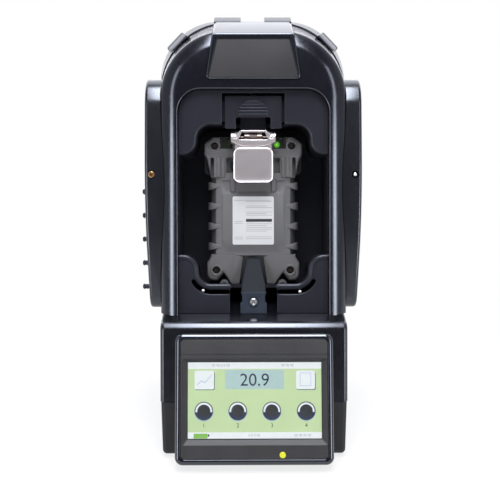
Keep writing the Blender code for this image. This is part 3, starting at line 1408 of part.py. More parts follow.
def detector_outline(depth):
    """Return the detector's outline at a depth: bosses at the corners, ribs at the waist, a falling top."""
    low = DETECTOR_LOW
    top = DETECTOR_TOP - (depth - DETECTOR_BACK) * math.tan(DETECTOR_TOP_FALL)
    half = [
        (NOTCH_INNER, low, 0.0),
        (NOTCH_APEX, low + NOTCH_RISE, 0.0),
        (NOTCH_OUTER, low + LOW_BOSS_RISE, 0.0),
        (LOW_HALF_WIDTH, low + LOW_BOSS_RISE, LOW_CORNER),
        (LOW_HALF_WIDTH, LOW_BOSS_HIGH, 0.0),
        (WAIST_HALF_WIDTH, WAIST_LOW, 0.0),
    ]
    for index in range(RIB_COUNT):
        middle = RIB_LOW + RIB_PITCH * index
        half += [
            (WAIST_HALF_WIDTH, middle - RIB_HALF_HEIGHT, 0.0),
            (WAIST_HALF_WIDTH + RIB_PROUD, middle - RIB_HALF_HEIGHT + RIB_PROUD, 0.0),
            (WAIST_HALF_WIDTH + RIB_PROUD, middle + RIB_HALF_HEIGHT - RIB_PROUD, 0.0),
            (WAIST_HALF_WIDTH, middle + RIB_HALF_HEIGHT, 0.0),
        ]
    half += [
        (WAIST_HALF_WIDTH, WAIST_HIGH, 0.0),
        (TOP_HALF_WIDTH, top - TOP_BOSS_HEIGHT, 0.0),
        (TOP_HALF_WIDTH, top - TOP_SHOULDER_DROP, TOP_SHOULDER_DROP / 2),
        (TOP_SHOULDER_X, top, TOP_SHOULDER_DROP / 2),
    ]
    return mirrored(half)


def cavity_outline(depth):
    """Return the outline of the detector's hollow at a depth, plain and clear of the bottom notches."""
    floor = DETECTOR_LOW + NOTCH_RISE + DETECTOR_WALL
    top = DETECTOR_TOP - (depth - DETECTOR_BACK) * math.tan(DETECTOR_TOP_FALL)
    waist = WAIST_HALF_WIDTH - DETECTOR_WALL
    shoulder = TOP_HALF_WIDTH - DETECTOR_WALL
    return mirrored([
        (waist, floor, 0.0),
        (waist, WAIST_HIGH, 0.0),
        (shoulder, top - TOP_BOSS_HEIGHT + DETECTOR_WALL, 0.0),
        (shoulder, top - TOP_SHOULDER_DROP - DETECTOR_WALL, 0.0),
        (TOP_SHOULDER_X - DETECTOR_WALL, top - DETECTOR_WALL, 0.0),
    ])


def groove_rings(grow):
    """Return the rings of the groove for the nose, wider and deeper towards the bottom."""
    low = POCKET_LOW - OVERCUT
    corners = [
        (-GROOVE_HALF_LOW - grow, low - grow, GROOVE_DEPTH_LOW + grow),
        (GROOVE_HALF_LOW + grow, low - grow, GROOVE_DEPTH_LOW + grow),
        (GROOVE_HALF_TOP + grow, GROOVE_TOP + grow, GROOVE_DEPTH_TOP + grow),
        (-GROOVE_HALF_TOP - grow, GROOVE_TOP + grow, GROOVE_DEPTH_TOP + grow),
    ]
    mouth = DETECTOR_BACK - OVERCUT
    return [
        [(across, mouth, up) for across, up, depth in corners],
        [(across, DETECTOR_BACK + depth, up) for across, up, depth in corners],
    ]


def screw_places():
    """Return the name and place of each of the detector's screws."""
    places = []
    for end, (across, height) in zip(("top", "bottom"), DETECTOR_SCREWS):
        for hand, side in (("left", -1), ("right", 1)):
            places.append((f"shell_screw_{end}_{hand}", (side * across, 0.0, height)))
    return places


def make_detector_shells(hinge, materials):
    """Make the detector's two half shells with their screw bosses, the seal between them and the screws."""
    rear_inside = DETECTOR_BACK + DETECTOR_WALL
    past_split = DETECTOR_SPLIT + OVERCUT
    rear = skin("detector_rear_shell", [
        at_depth(grown(detector_outline(DETECTOR_BACK), -DETECTOR_EDGE), DETECTOR_BACK),
        at_depth(detector_outline(DETECTOR_BACK + DETECTOR_EDGE), DETECTOR_BACK + DETECTOR_EDGE),
        at_depth(detector_outline(DETECTOR_SPLIT), DETECTOR_SPLIT),
    ], hinge, materials["detector_grey"])
    cut(rear, skin("rear_cavity", [
        at_depth(cavity_outline(rear_inside), rear_inside),
        at_depth(cavity_outline(past_split), past_split),
    ], hinge))
    groove_wall = skin("groove_wall", groove_rings(GROOVE_WALL), hinge)
    cut(groove_wall, box("groove_front", (-REACH, 0.0, 0.0), (REACH, DETECTOR_BACK + OVERCUT, REACH), hinge))
    wall_low = DETECTOR_LOW + OVERCUT / 2
    cut(groove_wall, box("groove_floor", (-REACH, 0.0, 0.0), (REACH, REACH, wall_low), hinge))
    join(rear, groove_wall)
    front_start = DETECTOR_SPLIT + DETECTOR_SEAM
    front_inside = DETECTOR_FRONT - DETECTOR_WALL
    front = skin("detector_front_shell", [
        at_depth(detector_outline(front_start), front_start),
        at_depth(detector_outline(DETECTOR_FRONT - DETECTOR_EDGE), DETECTOR_FRONT - DETECTOR_EDGE),
        at_depth(grown(detector_outline(DETECTOR_FRONT), -DETECTOR_EDGE), DETECTOR_FRONT),
    ], hinge, materials["detector_grey"])
    cut(front, skin("front_cavity", [
        at_depth(cavity_outline(front_start - OVERCUT), front_start - OVERCUT),
        at_depth(cavity_outline(front_inside), front_inside),
    ], hinge))
    head_front = DETECTOR_BACK + DETECTOR_HEAD_DEPTH
    head_back = head_front + DETECTOR_HEAD_THICKNESS
    shank_end = head_back + DETECTOR_SHANK_LENGTH
    boss_end = front_start + DETECTOR_BOSS_LENGTH
    sink = DETECTOR_HEAD_RADIUS + GAP
    bore = DETECTOR_SHANK + GAP
    holes = []
    for name, place in screw_places():
        rear_boss = [(DETECTOR_BACK + OVERCUT, DETECTOR_BOSS), (DETECTOR_SPLIT - OVERCUT, DETECTOR_BOSS)]
        front_boss = [(front_start + OVERCUT, DETECTOR_BOSS), (boss_end, DETECTOR_BOSS)]
        drill = [(0.0, bore), (shank_end + OVERCUT, bore)]
        join(rear, turned(f"{name}_rear_boss", rear_boss, 1, place, hinge, sides=SMALL_SIDES))
        join(front, turned(f"{name}_front_boss", front_boss, 1, place, hinge, sides=SMALL_SIDES))
        hole = turned(f"{name}_hole", drill, 1, place, hinge, sides=SMALL_SIDES)
        holes.append(hole)
        sunk = [(0.0, sink), (head_back + GAP, sink)]
        cut(rear, turned(f"{name}_sink", sunk, 1, place, hinge, sides=SMALL_SIDES), hole)
        cut(front, hole)
        turned(name, [
            (head_front, DETECTOR_HEAD_RADIUS),
            (head_back, DETECTOR_HEAD_RADIUS),
            (head_back, DETECTOR_SHANK),
            (shank_end, DETECTOR_SHANK),
        ], 1, place, hinge, materials["steel"], SMALL_SIDES)
    cut(rear, skin("groove", groove_rings(0.0), hinge))
    seam_outline = grown(detector_outline(front_start), -2 * GAP)
    seal_front = DETECTOR_SPLIT + GAP
    seal_back = front_start - GAP
    seal = prism("shell_gasket", seam_outline, seal_front, seal_back, hinge, materials["rubber"])
    cut(seal, prism("gasket_hole", cavity_outline(front_start), DETECTOR_SPLIT, front_start, hinge), *holes)
    return rear, front


def window_box(name, window, front, back, hinge, material=None, grow=0.0):
    """Return a block that fills a window (half-width, low, high) of the detector's front."""
    half_width = window[0] + grow
    low = window[1] - grow
    high = window[2] + grow
    return box(name, (-half_width, front, low), (half_width, back, high), hinge, material)


def make_detector_fittings(hinge, rear, front, materials):
    """Make what the detector holds: battery, board, display, sensors, sounder, lights and back label."""
    rear_inside = DETECTOR_BACK + DETECTOR_WALL
    front_inside = DETECTOR_FRONT - DETECTOR_WALL
    battery_front = rear_inside + GAP
    box(
        "battery_pack",
        (-BATTERY_HALF_WIDTH, battery_front, BATTERY_LOW),
        (BATTERY_HALF_WIDTH, battery_front + BATTERY_DEPTH, BATTERY_HIGH),
        hinge,
        materials["battery_blue"],
    )
    circuit_half = WAIST_HALF_WIDTH - DETECTOR_WALL - GAP
    box(
        "detector_board",
        (-circuit_half, CIRCUIT_BACK, CIRCUIT_LOW),
        (circuit_half, CIRCUIT_BACK + CIRCUIT_THICKNESS, CIRCUIT_HIGH),
        hinge,
        materials["board_green"],
    )
    lens_back = DETECTOR_FRONT - LENS_SETBACK
    lens_front = lens_back - LENS_THICKNESS
    window_box("display_lens", DISPLAY_WINDOW, lens_front, lens_back, hinge, materials["clear_glass"])
    module_back = front_inside - GAP
    window_box(
        "lcd_module", DISPLAY_WINDOW, module_back - MODULE_THICKNESS, module_back, hinge,
        materials["screen_green"], MODULE_MARGIN,
    )
    window_front = front_inside - OVERCUT
    window_back = DETECTOR_FRONT + OVERCUT
    for window in (DISPLAY_WINDOW, GRILLE_WINDOW):
        cut(front, window_box("window", window, window_front, window_back, hinge, grow=GAP))
    make_grille(hinge, materials)
    sensor_height = (GRILLE_WINDOW[1] + GRILLE_WINDOW[2]) / 2
    sensor_back = DETECTOR_FRONT - GRILLE_THICKNESS - GAP
    for index in range(SENSOR_COUNT):
        place = ((index - (SENSOR_COUNT - 1) / 2) * SENSOR_PITCH, 0.0, sensor_height)
        turned(
            f"gas_sensor_{index + 1}",
            [(sensor_back - SENSOR_LENGTH, SENSOR_RADIUS), (sensor_back, SENSOR_RADIUS)],
            1, place, hinge, materials["aluminium"],
        )
    for index in range(BUTTON_COUNT):
        make_button(index, hinge, front, materials)
    buzzer_front = rear_inside + GAP
    turned(
        "buzzer", [(buzzer_front, BUZZER_RADIUS), (buzzer_front + BUZZER_LENGTH, BUZZER_RADIUS)],
        1, (BUZZER_X, 0.0, BUZZER_HEIGHT), hinge, materials["satin_black"],
    )
    for name, side in (("light_pipe_left", -1), ("light_pipe_right", 1)):
        middle = side * LIGHT_X
        half_width, half_height = LIGHT_HALF
        low = (middle - half_width, DETECTOR_BACK + GAP, LIGHT_HEIGHT - half_height)
        high = (middle + half_width, DETECTOR_BACK + LIGHT_LENGTH, LIGHT_HEIGHT + half_height)
        box(name, low, high, hinge, materials["light_green"])
        cut(rear, box(
            f"{name}_seat",
            (low[0] - GAP, DETECTOR_BACK - OVERCUT, low[2] - GAP),
            (high[0] + GAP, rear_inside + OVERCUT, high[2] + GAP),
            hinge,
        ))
    label_back = DETECTOR_BACK - GAP
    box(
        "rear_label",
        (-LABEL_HALF_WIDTH, label_back - LABEL_THICKNESS, LABEL_LOW),
        (LABEL_HALF_WIDTH, label_back, LABEL_HIGH),
        hinge,
        materials["label_white"],
    )


def make_grille(hinge, materials):
    """Make the slotted grille in front of the gas sensors."""
    half_width, low, high = GRILLE_WINDOW
    back = DETECTOR_FRONT
    front = back - GRILLE_THICKNESS
    grille = window_box("sensor_grille", GRILLE_WINDOW, front, back, hinge, materials["charcoal"])
    pitch = (2 * half_width - 2 * GRILLE_MARGIN) / GRILLE_SLOTS
    for index in range(GRILLE_SLOTS):
        middle = (index - (GRILLE_SLOTS - 1) / 2) * pitch
        cut(grille, box(
            "grille_slot",
            (middle - GRILLE_SLOT_WIDTH / 2, front - OVERCUT, low + GRILLE_MARGIN),
            (middle + GRILLE_SLOT_WIDTH / 2, back + OVERCUT, high - GRILLE_MARGIN),
            hinge,
        ))


def make_button(index, hinge, front, materials):
    """Make one push button of the detector and its hole in the front shell."""
    place = ((index - (BUTTON_COUNT - 1) / 2) * BUTTON_PITCH, 0.0, BUTTON_HEIGHT)
    face = DETECTOR_FRONT + BUTTON_PROUD
    joint = add_joint(f"button_joint_{index + 1}", hinge, (place[0], face, place[2]))
    body = [(face - BUTTON_LENGTH, BUTTON_RADIUS), (face, BUTTON_RADIUS)]
    turned(f"push_button_{index + 1}", body, 1, place, joint, materials["charcoal"], SMALL_SIDES)
    hole = BUTTON_RADIUS + GAP
    cut(front, turned(
        f"button_hole_{index + 1}",
        [(DETECTOR_FRONT - DETECTOR_WALL - OVERCUT, hole), (face, hole)],
        1, place, hinge, sides=SMALL_SIDES,
    ))


def make_clip(hinge, materials):
    """Make the belt clip: bracket with split knuckle, pin, coil and the sprung lever."""
    axis_point = (0.0, CLIP_DEPTH, CLIP_HEIGHT)
    bracket_back = DETECTOR_BACK - GAP
    bracket = box(
        "clip_bracket",
        (-BRACKET_HALF_WIDTH, bracket_back - BRACKET_THICKNESS, BRACKET_LOW),
        (BRACKET_HALF_WIDTH, bracket_back, BRACKET_HIGH),
        hinge,
        materials["steel"],
    )
    knuckle = [(-KNUCKLE_HALF_WIDTH, KNUCKLE_RADIUS), (KNUCKLE_HALF_WIDTH, KNUCKLE_RADIUS)]
    bore = PIN_RADIUS + GAP
    drill = [(-CLIP_HALF_WIDTH, bore), (CLIP_HALF_WIDTH, bore)]
    join(
        bracket,
        turned("knuckle", knuckle, 0, axis_point, hinge),
        box(
            "knuckle_root",
            (-KNUCKLE_HALF_WIDTH, CLIP_DEPTH, CLIP_HEIGHT - KNUCKLE_RADIUS / 2),
            (KNUCKLE_HALF_WIDTH, bracket_back - BRACKET_THICKNESS / 2, BRACKET_HIGH - BRACKET_THICKNESS / 2),
            hinge,
        ),
    )
    cut(
        bracket,
        box(
            "coil_slot",
            (-KNUCKLE_SLOT, 0.0, CLIP_HEIGHT - KNUCKLE_RADIUS - OVERCUT),
            (KNUCKLE_SLOT, bracket_back - BRACKET_THICKNESS, CLIP_HEIGHT + KNUCKLE_RADIUS + OVERCUT),
            hinge,
        ),
        turned("knuckle_bore", drill, 0, axis_point, hinge, sides=SMALL_SIDES),
    )
    pin_half = CLIP_HALF_WIDTH - PIN_INSET
    pin = [(-pin_half, PIN_RADIUS), (pin_half, PIN_RADIUS)]
    turned("clip_pin", pin, 0, axis_point, hinge, materials["steel"], SMALL_SIDES)
    coil_half = KNUCKLE_SLOT - GAP
    coil = [(-coil_half, COIL_RADIUS), (coil_half, COIL_RADIUS)]
    spring = turned("clip_spring", coil, 0, axis_point, hinge, materials["steel"])
    cut(spring, turned("coil_bore", drill, 0, axis_point, hinge, sides=SMALL_SIDES))
    make_clip_lever(add_joint("clip_joint", hinge, axis_point), axis_point, drill, materials)


def make_clip_lever(joint, axis_point, drill, materials):
    """Make the bright lever: a plate hung on two barrels, with a window over the knuckle."""
    front = CLIP_DEPTH - CLIP_RADIUS
    outline = rounded([
        (-CLIP_PLATE_HALF, CLIP_PLATE_LOW, CLIP_PLATE_CORNER),
        (CLIP_PLATE_HALF, CLIP_PLATE_LOW, CLIP_PLATE_CORNER),
        (CLIP_PLATE_HALF, CLIP_HEIGHT, 0.0),
        (-CLIP_PLATE_HALF, CLIP_HEIGHT, 0.0),
    ])
    lever = prism("clip_lever", outline, front, front + CLIP_PLATE_THICKNESS, joint, materials["chrome"])
    barrel = [(-CLIP_HALF_WIDTH, CLIP_RADIUS), (CLIP_HALF_WIDTH, CLIP_RADIUS)]
    join(lever, turned("barrel", barrel, 0, axis_point, joint))
    window_half = KNUCKLE_HALF_WIDTH + GAP
    reach = CLIP_RADIUS + OVERCUT
    long_drill = [(2 * place, radius) for place, radius in drill]
    cut(
        lever,
        box(
            "knuckle_window",
            (-window_half, front - OVERCUT, CLIP_HEIGHT - reach),
            (window_half, CLIP_DEPTH + reach, CLIP_HEIGHT + reach),
            joint,
        ),
        turned("lever_bore", long_drill, 0, axis_point, joint, sides=SMALL_SIDES),
    )


def make_detector(lean, materials):
    """Make the docked detector, which tilts out of the cradle about the tip of the nose."""
    hinge = add_joint("detector_joint", lean, (0.0, DETECTOR_BACK, GROOVE_TOP))
    rear, front = make_detector_shells(hinge, materials)
    make_detector_fittings(hinge, rear, front, materials)
    make_clip(hinge, materials)


def main():
    """Build the whole object in an empty scene."""
    clear_scene()
    materials = make_finishes()
    stand = add_frame("stand_frame")
    lean = add_frame("lean_frame", (0.0, LEAN_ORIGIN_Y, 0.0), LEAN)
    screen = add_frame("screen_frame", (0.0, SCREEN_FOOT_Y, SCREEN_FOOT_Z), SCREEN_LEAN)
    make_base_housing(stand, materials)
    make_jacks(stand, materials)
    make_base_tray(stand, materials)
    make_workings(stand, materials)
    make_screen(stand, lean, screen, materials)
    make_front_shell(stand, lean, materials)
    make_rear_shell(stand, lean, materials)
    make_hood(lean, materials)
    make_cradle_pan(stand, lean, materials)
    make_latch(lean, materials)
    make_nose(stand, lean, materials)
    make_flow_cup(lean, materials)
    make_covers(lean, materials)
    make_detector(lean, materials)


main()
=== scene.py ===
"""Looks of a bench test stand with a portable gas detector docked in its cradle.

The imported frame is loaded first. Each visible piece is then modelled with Blender's own tools, dressed
and set to ride on its body, and a plain studio is put round the whole. Sizes are in metres. Pieces are
drawn as (across, depth, up) in one of three drawing frames and then placed in the stand's own axes.
"""

import json
import logging
import math
from contextlib import contextmanager
from dataclasses import dataclass
from enum import Enum
from typing import Callable, ClassVar, Iterator, Optional, Sequence, Union

import bmesh
import bpy
from mathutils import Matrix, Vector

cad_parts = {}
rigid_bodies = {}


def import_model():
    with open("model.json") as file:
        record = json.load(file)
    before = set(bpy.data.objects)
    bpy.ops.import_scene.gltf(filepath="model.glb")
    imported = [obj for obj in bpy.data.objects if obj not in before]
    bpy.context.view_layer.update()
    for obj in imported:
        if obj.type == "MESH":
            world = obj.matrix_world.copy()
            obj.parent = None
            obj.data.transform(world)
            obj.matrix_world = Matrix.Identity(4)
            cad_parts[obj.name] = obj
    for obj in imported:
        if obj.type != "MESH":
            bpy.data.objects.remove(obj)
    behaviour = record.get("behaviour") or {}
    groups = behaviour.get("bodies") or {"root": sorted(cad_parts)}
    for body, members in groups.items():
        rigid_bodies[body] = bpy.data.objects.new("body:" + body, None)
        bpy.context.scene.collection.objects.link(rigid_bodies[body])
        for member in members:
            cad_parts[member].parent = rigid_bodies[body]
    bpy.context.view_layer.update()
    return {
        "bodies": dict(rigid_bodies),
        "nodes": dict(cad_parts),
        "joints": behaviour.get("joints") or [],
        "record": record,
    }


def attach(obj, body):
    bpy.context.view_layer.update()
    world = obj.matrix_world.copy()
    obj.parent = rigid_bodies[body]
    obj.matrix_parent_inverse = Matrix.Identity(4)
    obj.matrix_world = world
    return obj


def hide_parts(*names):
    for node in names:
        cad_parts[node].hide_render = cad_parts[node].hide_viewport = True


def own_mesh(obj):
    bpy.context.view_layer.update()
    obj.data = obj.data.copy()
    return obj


LOG = logging.getLogger("stand")

# Clearance between neighbours, wall of the shells, and how far a tool runs past the face that it cuts
GAP = 0.0003
WALL = 0.0025
SPARE = 0.001
# Reach of a tool that takes all on one side of a face
REACH = 0.4
# Places in the stand's axes: back, deck of the base, its split, and the upright's foot in its own lean
BACK_Y = 0.09075
DECK_Z = 0.0964
SPLIT_Z = 0.0404
UPRIGHT_FOOT = 0.06
# Distance below which points are merged, and angle in degrees below which edges are shaded smooth
MERGE = 1e-7
SMOOTH = 38.0

Outline = list[Vector]
Ring = list[Vector]
Colour = tuple[float, float, float]
Point = tuple[float, float, float]
Profile = tuple[tuple[float, float], ...]


class Drawing(Enum):
    """Frames that pieces are drawn in: tilt back in degrees, and the y and z of the origin."""

    STAND = (0.0, 0.0, 0.0)
    LEAN = (14.0, -0.05125, 0.0)
    SCREEN = (21.5, -0.09075, 0.0071)

    @property
    def tilt(self) -> float:
        """Return the tilt in radians."""
        return math.radians(self.value[0])

    @property
    def origin_y(self) -> float:
        """Return the y of the origin."""
        return self.value[1]

    @property
    def matrix(self) -> Matrix:
        """Return the turn and shift from this frame to the stand's axes."""
        return Matrix.Translation((0.0, *self.value[1:])) @ Matrix.Rotation(-self.tilt, 4, "X")


class Body(Enum):
    """Bodies of the frame that pieces ride on."""

    STAND = "stand"
    LATCH = "latch"
    DETECTOR = "detector"
    CLIP = "clip"


class Axis(Enum):
    """Axes of a drawing frame that round pieces are turned about."""

    ACROSS = 0
    DEPTH = 1
    UP = 2


# Outlines


def quarter(steps: int) -> list[float]:
    """Return the angles of a quarter turn."""
    return [math.pi / 2 * step / steps for step in range(steps + 1)]


def rounded(corners: Sequence[Point], steps: int = 10) -> Outline:
    """Turn corners into arcs.

    Args:
        corners: Points as (across, up, radius), in order round the outline.
        steps: Straight pieces in each arc.

    Returns:
        The outline's points.
    """
    points: Outline = []
    for index, (across, up, radius) in enumerate(corners):
        corner = Vector((across, up))
        if radius == 0:
            points.append(corner)
            continue
        back = (Vector(corners[index - 1][:2]) - corner).normalized()
        ahead = (Vector(corners[(index + 1) % len(corners)][:2]) - corner).normalized()
        half = back.angle(ahead) / 2
        centre = corner + (back + ahead).normalized() * (radius / math.sin(half))
        start = corner + back * (radius / math.tan(half)) - centre
        end = corner + ahead * (radius / math.tan(half)) - centre
        first = math.atan2(start.y, start.x)
        sweep = (math.atan2(end.y, end.x) - first + math.pi) % math.tau - math.pi
        for step in range(steps + 1):
            angle = first + sweep * step / steps
            points.append(centre + Vector((math.cos(angle), math.sin(angle))) * radius)
    return points


def mirrored(right_half: Sequence[Point], steps: int = 10) -> Outline:
    """Return a whole outline from the corners of its right half, which run from the bottom to the top."""
    left_half = [(-across, up, radius) for across, up, radius in reversed(right_half)]
    return rounded([*right_half, *left_half], steps)


def evened(low: Point, high: Point, steps: int) -> Outline:
    """Return an outline with four corners, from the right ones at the bottom and at the top."""
    left_low, left_high = (-low[0], *low[1:]), (-high[0], *high[1:])
    return rounded([left_low, low, high, left_high], steps)


def box(left: float, right: float, low: float, high: float, radius: float, steps: int = 10) -> Outline:
    """Return a rectangle between four edges, with round corners."""
    corners = [(left, low), (right, low), (right, high), (left, high)]
    return rounded([(*corner, radius) for corner in corners], steps)


def rectangle(
    half_width: float, low: float, high: float, radius: float = 0.0, middle: float = 0.0
) -> Outline:
    """Return a rectangle about a middle line, with round corners."""
    return box(middle - half_width, middle + half_width, low, high, radius)


def circle(across: float, up: float, radius: float, steps: int = 32) -> Outline:
    """Return a round outline."""
    turns = [math.tau * step / steps for step in range(steps)]
    return [Vector((across + radius * math.cos(turn), up + radius * math.sin(turn))) for turn in turns]


def grown(outline: Outline, distance: float) -> Outline:
    """Move an outline outwards.

    Args:
        outline: The outline.
        distance: How far each side moves; below zero it moves inwards.

    Returns:
        The moved outline.
    """
    moved: Outline = []
    for index, point in enumerate(outline):
        before = (point - outline[index - 1]).normalized()
        after = (outline[(index + 1) % len(outline)] - point).normalized()
        first, second = Vector((before.y, -before.x)), Vector((after.y, -after.x))
        moved.append(point + (first + second) * (distance / (1.0 + first.dot(second))))
    return moved


def at_depth(outline: Outline, depth: float) -> Ring:
    """Return an outline of the front face as a ring at one depth."""
    return [Vector((point.x, depth, point.y)) for point in outline]


def at_side(profile: Outline, across: float) -> Ring:
    """Return a side profile (depth, up) as a ring at one place across."""
    return [Vector((across, point.x, point.y)) for point in profile]


def at_height(plan: Outline, up: float) -> Ring:
    """Return a plan outline (across, depth) as a ring at one height."""
    return [Vector((point.x, point.y, up)) for point in plan]


def soft_rings(
    outline: Outline, front: float, back: float, front_edge: float = 0.0, back_edge: float = 0.0
) -> list[Ring]:
    """Draw an outline out in depth with round edges.

    Args:
        outline: The outline at full size.
        front: Depth of the front face.
        back: Depth of the back face.
        front_edge: Radius of the front edge; below zero it flares outwards, as for the mouth of a hole.
        back_edge: Radius of the back edge, likewise.

    Returns:
        The rings, from front to back.
    """
    rings = []
    for face, edge, into in ((front, front_edge, 1), (back, back_edge, -1)):
        turns = quarter(4)[:-1] if edge else []
        side = [at_depth(outline, face + into * abs(edge))]
        for turn in reversed(turns):
            shrunk = grown(outline, edge * (math.sin(turn) - 1.0))
            side.append(at_depth(shrunk, face + into * abs(edge) * (1.0 - math.cos(turn))))
        rings += side[::-into]
    return rings


def soft_front(
    shape: Callable[[float, float], Outline], front: float, back: float, edge: float
) -> list[Ring]:
    """Draw an outline that changes with depth, with a round front edge.

    Args:
        shape: Gives the outline for a depth and a growth.
        front: Depth of the front face.
        back: Depth of the back face.
        edge: Radius of the front edge.

    Returns:
        The rings, from front to back.
    """
    rings = []
    for turn in quarter(4):
        depth = front + edge * (1.0 - math.cos(turn))
        rings.append(at_depth(shape(depth, edge * (math.sin(turn) - 1.0)), depth))
    return [*rings, at_depth(shape(back, 0.0), back)]


# Modelling


def only(obj: bpy.types.Object) -> None:
    """Select one object alone and make it active."""
    bpy.ops.object.select_all(action="DESELECT")
    obj.select_set(True)
    bpy.context.view_layer.objects.active = obj


@dataclass
class Workpiece:
    """One mesh on the bench, shaped with Blender's own tools."""

    obj: bpy.types.Object

    @contextmanager
    def editing(self) -> Iterator[None]:
        """Hold the piece in edit mode with all of it selected."""
        only(self.obj)
        bpy.ops.object.mode_set(mode="EDIT")
        bpy.ops.mesh.select_all(action="SELECT")
        yield
        bpy.ops.object.mode_set(mode="OBJECT")

    def _shape_selected(self, ring: Ring) -> None:
        """Move the selected vertices to a ring's points, each by the number it carries.

        Args:
            ring: The points.
        """
        mesh = bmesh.from_edit_mesh(self.obj.data)
        place = mesh.verts.layers.int["place"]
        for corner in mesh.verts:
            if corner.select:
                corner.co = ring[corner[place]]
        bmesh.update_edit_mesh(self.obj.data)

    @classmethod
    def loft(cls, name: str, rings: Sequence[Ring], closed: bool = False) -> "Workpiece":
        """Draw a circle's edge out from ring to ring.

        Args:
            name: Name of the piece.
            rings: Rings of points, all of one length.
            closed: True if the last ring joins the first, else both ends are filled.

        Returns:
            The closed piece.
        """
        bpy.ops.object.select_all(action="DESELECT")
        bpy.ops.mesh.primitive_circle_add(vertices=len(rings[0]))
        piece = cls(bpy.context.active_object)
        piece.obj.name = piece.obj.data.name = name
        with piece.editing():
            mesh = bmesh.from_edit_mesh(piece.obj.data)
            place = mesh.verts.layers.int.new("place")
            for number, corner in enumerate(mesh.verts):
                corner[place] = number
            piece._shape_selected(rings[0])
            for ring in [*rings[1:], *([rings[0]] if closed else [])]:
                bpy.ops.mesh.extrude_region()
                piece._shape_selected(ring)
            bpy.ops.mesh.select_all(action="SELECT")
            bpy.ops.mesh.remove_doubles(threshold=MERGE)
            bpy.ops.mesh.fill_holes(sides=0)
            bpy.ops.mesh.normals_make_consistent(inside=False)
        piece.obj.data.attributes.remove(piece.obj.data.attributes["place"])
        return piece

    @classmethod
    def plate(
        cls, name: str, outline: Outline, front: float, back: float,
        front_edge: float = 0.0, back_edge: float = 0.0
    ) -> "Workpiece":
        """Return an outline of the front face drawn out in depth, with round edges."""
        return cls.loft(name, soft_rings(outline, front, back, front_edge, back_edge))

    @classmethod
    def hole(cls, outline: Outline, front: float, back: float, edge: float = 0.0) -> "Workpiece":
        """Make a tool that cuts a hole through a face, with a round mouth."""
        rings = soft_rings(outline, front, back, -edge)
        mouth = [Vector((point.x, front - SPARE, point.z)) for point in rings[0]]
        return cls.loft("hole", [mouth, *rings])

    @classmethod
    def block(cls, name: str, low: Sequence[float], high: Sequence[float], edge: float = 0.0) -> "Workpiece":
        """Make a block with rounded edges."""
        radius = min(1.5 * edge, (high[0] - low[0]) * 0.45, (high[2] - low[2]) * 0.45)
        outline = box(low[0], high[0], low[2], high[2], radius, 4)
        return cls.plate(name, outline, low[1], high[1], edge, edge)

    @classmethod
    def turned(
        cls, name: str, profile: Sequence[tuple[float, float]], axis: Axis,
        centre: Sequence[float], sides: int = 32
    ) -> "Workpiece":
        """Make a round piece.

        Args:
            name: Name of the piece.
            profile: Pairs of a place along the axis and a radius.
            axis: The axis.
            centre: Where the places along the axis start.
            sides: Straight pieces round the axis.

        Returns:
            The piece.
        """
        first, second = (axis.value + 1) % 3, (axis.value + 2) % 3
        rings = []
        for along, radius in profile:
            ring = []
            for side in range(sides):
                point = Vector(centre)
                point[axis.value] += along
                point[first] += radius * math.cos(math.tau * side / sides)
                point[second] += radius * math.sin(math.tau * side / sides)
                ring.append(point)
            rings.append(ring)
        return cls.loft(name, rings)

    @classmethod
    def tube(cls, name: str, path: Sequence[Vector], radius: float, sides: int = 14) -> "Workpiece":
        """Make a tube along a path, its ends drawn in to round tips.

        Args:
            name: Name of the tube.
            path: Points of its middle line.
            radius: Its radius.
            sides: Straight pieces round it.

        Returns:
            The tube.
        """
        last = len(path) - 1
        side = (path[1] - path[0]).normalized().orthogonal().normalized()
        cap = [(math.sin(turn) * radius, math.cos(turn) * radius + MERGE) for turn in quarter(3)[1:]]
        spokes = [math.tau * step / sides for step in range(sides)]
        rings = []
        for index, point in enumerate(path):
            ahead = (path[min(index + 1, last)] - path[max(index - 1, 0)]).normalized()
            side = (side - ahead * side.dot(ahead)).normalized()
            up = ahead.cross(side)
            before = [(-along, size) for along, size in reversed(cap)] if index == 0 else []
            after = cap if index == last else []
            for along, size in [*before, (0.0, radius), *after]:
                middle = point + ahead * along
                rings.append([middle + (side * math.cos(s) + up * math.sin(s)) * size for s in spokes])
        return cls.loft(name, rings)

    def _combine(self, tools: Sequence["Workpiece"], operation: str) -> "Workpiece":
        """Apply a Boolean with each tool and clear the tool away.

        Args:
            tools: The tools, in order.
            operation: The Boolean's operation.

        Returns:
            The piece itself.
        """
        for tool in tools:
            only(self.obj)
            bpy.ops.object.modifier_add(type="BOOLEAN")
            step = self.obj.modifiers[-1]
            step.operation, step.solver, step.object = operation, "EXACT", tool.obj
            bpy.ops.object.modifier_apply(modifier=step.name)
            bpy.data.objects.remove(tool.obj, do_unlink=True)
        return self

    def cut(self, *tools: "Workpiece") -> "Workpiece":
        """Take each tool out of the piece."""
        return self._combine(tools, "DIFFERENCE")

    def fuse(self, *tools: "Workpiece") -> "Workpiece":
        """Fuse each tool to the piece."""
        return self._combine(tools, "UNION")

    def add(self, *others: "Workpiece") -> None:
        """Make other pieces that lie clear of this one part of the same mesh.

        Args:
            others: The other pieces.
        """
        only(self.obj)
        for other in others:
            other.obj.select_set(True)
        bpy.ops.object.join()

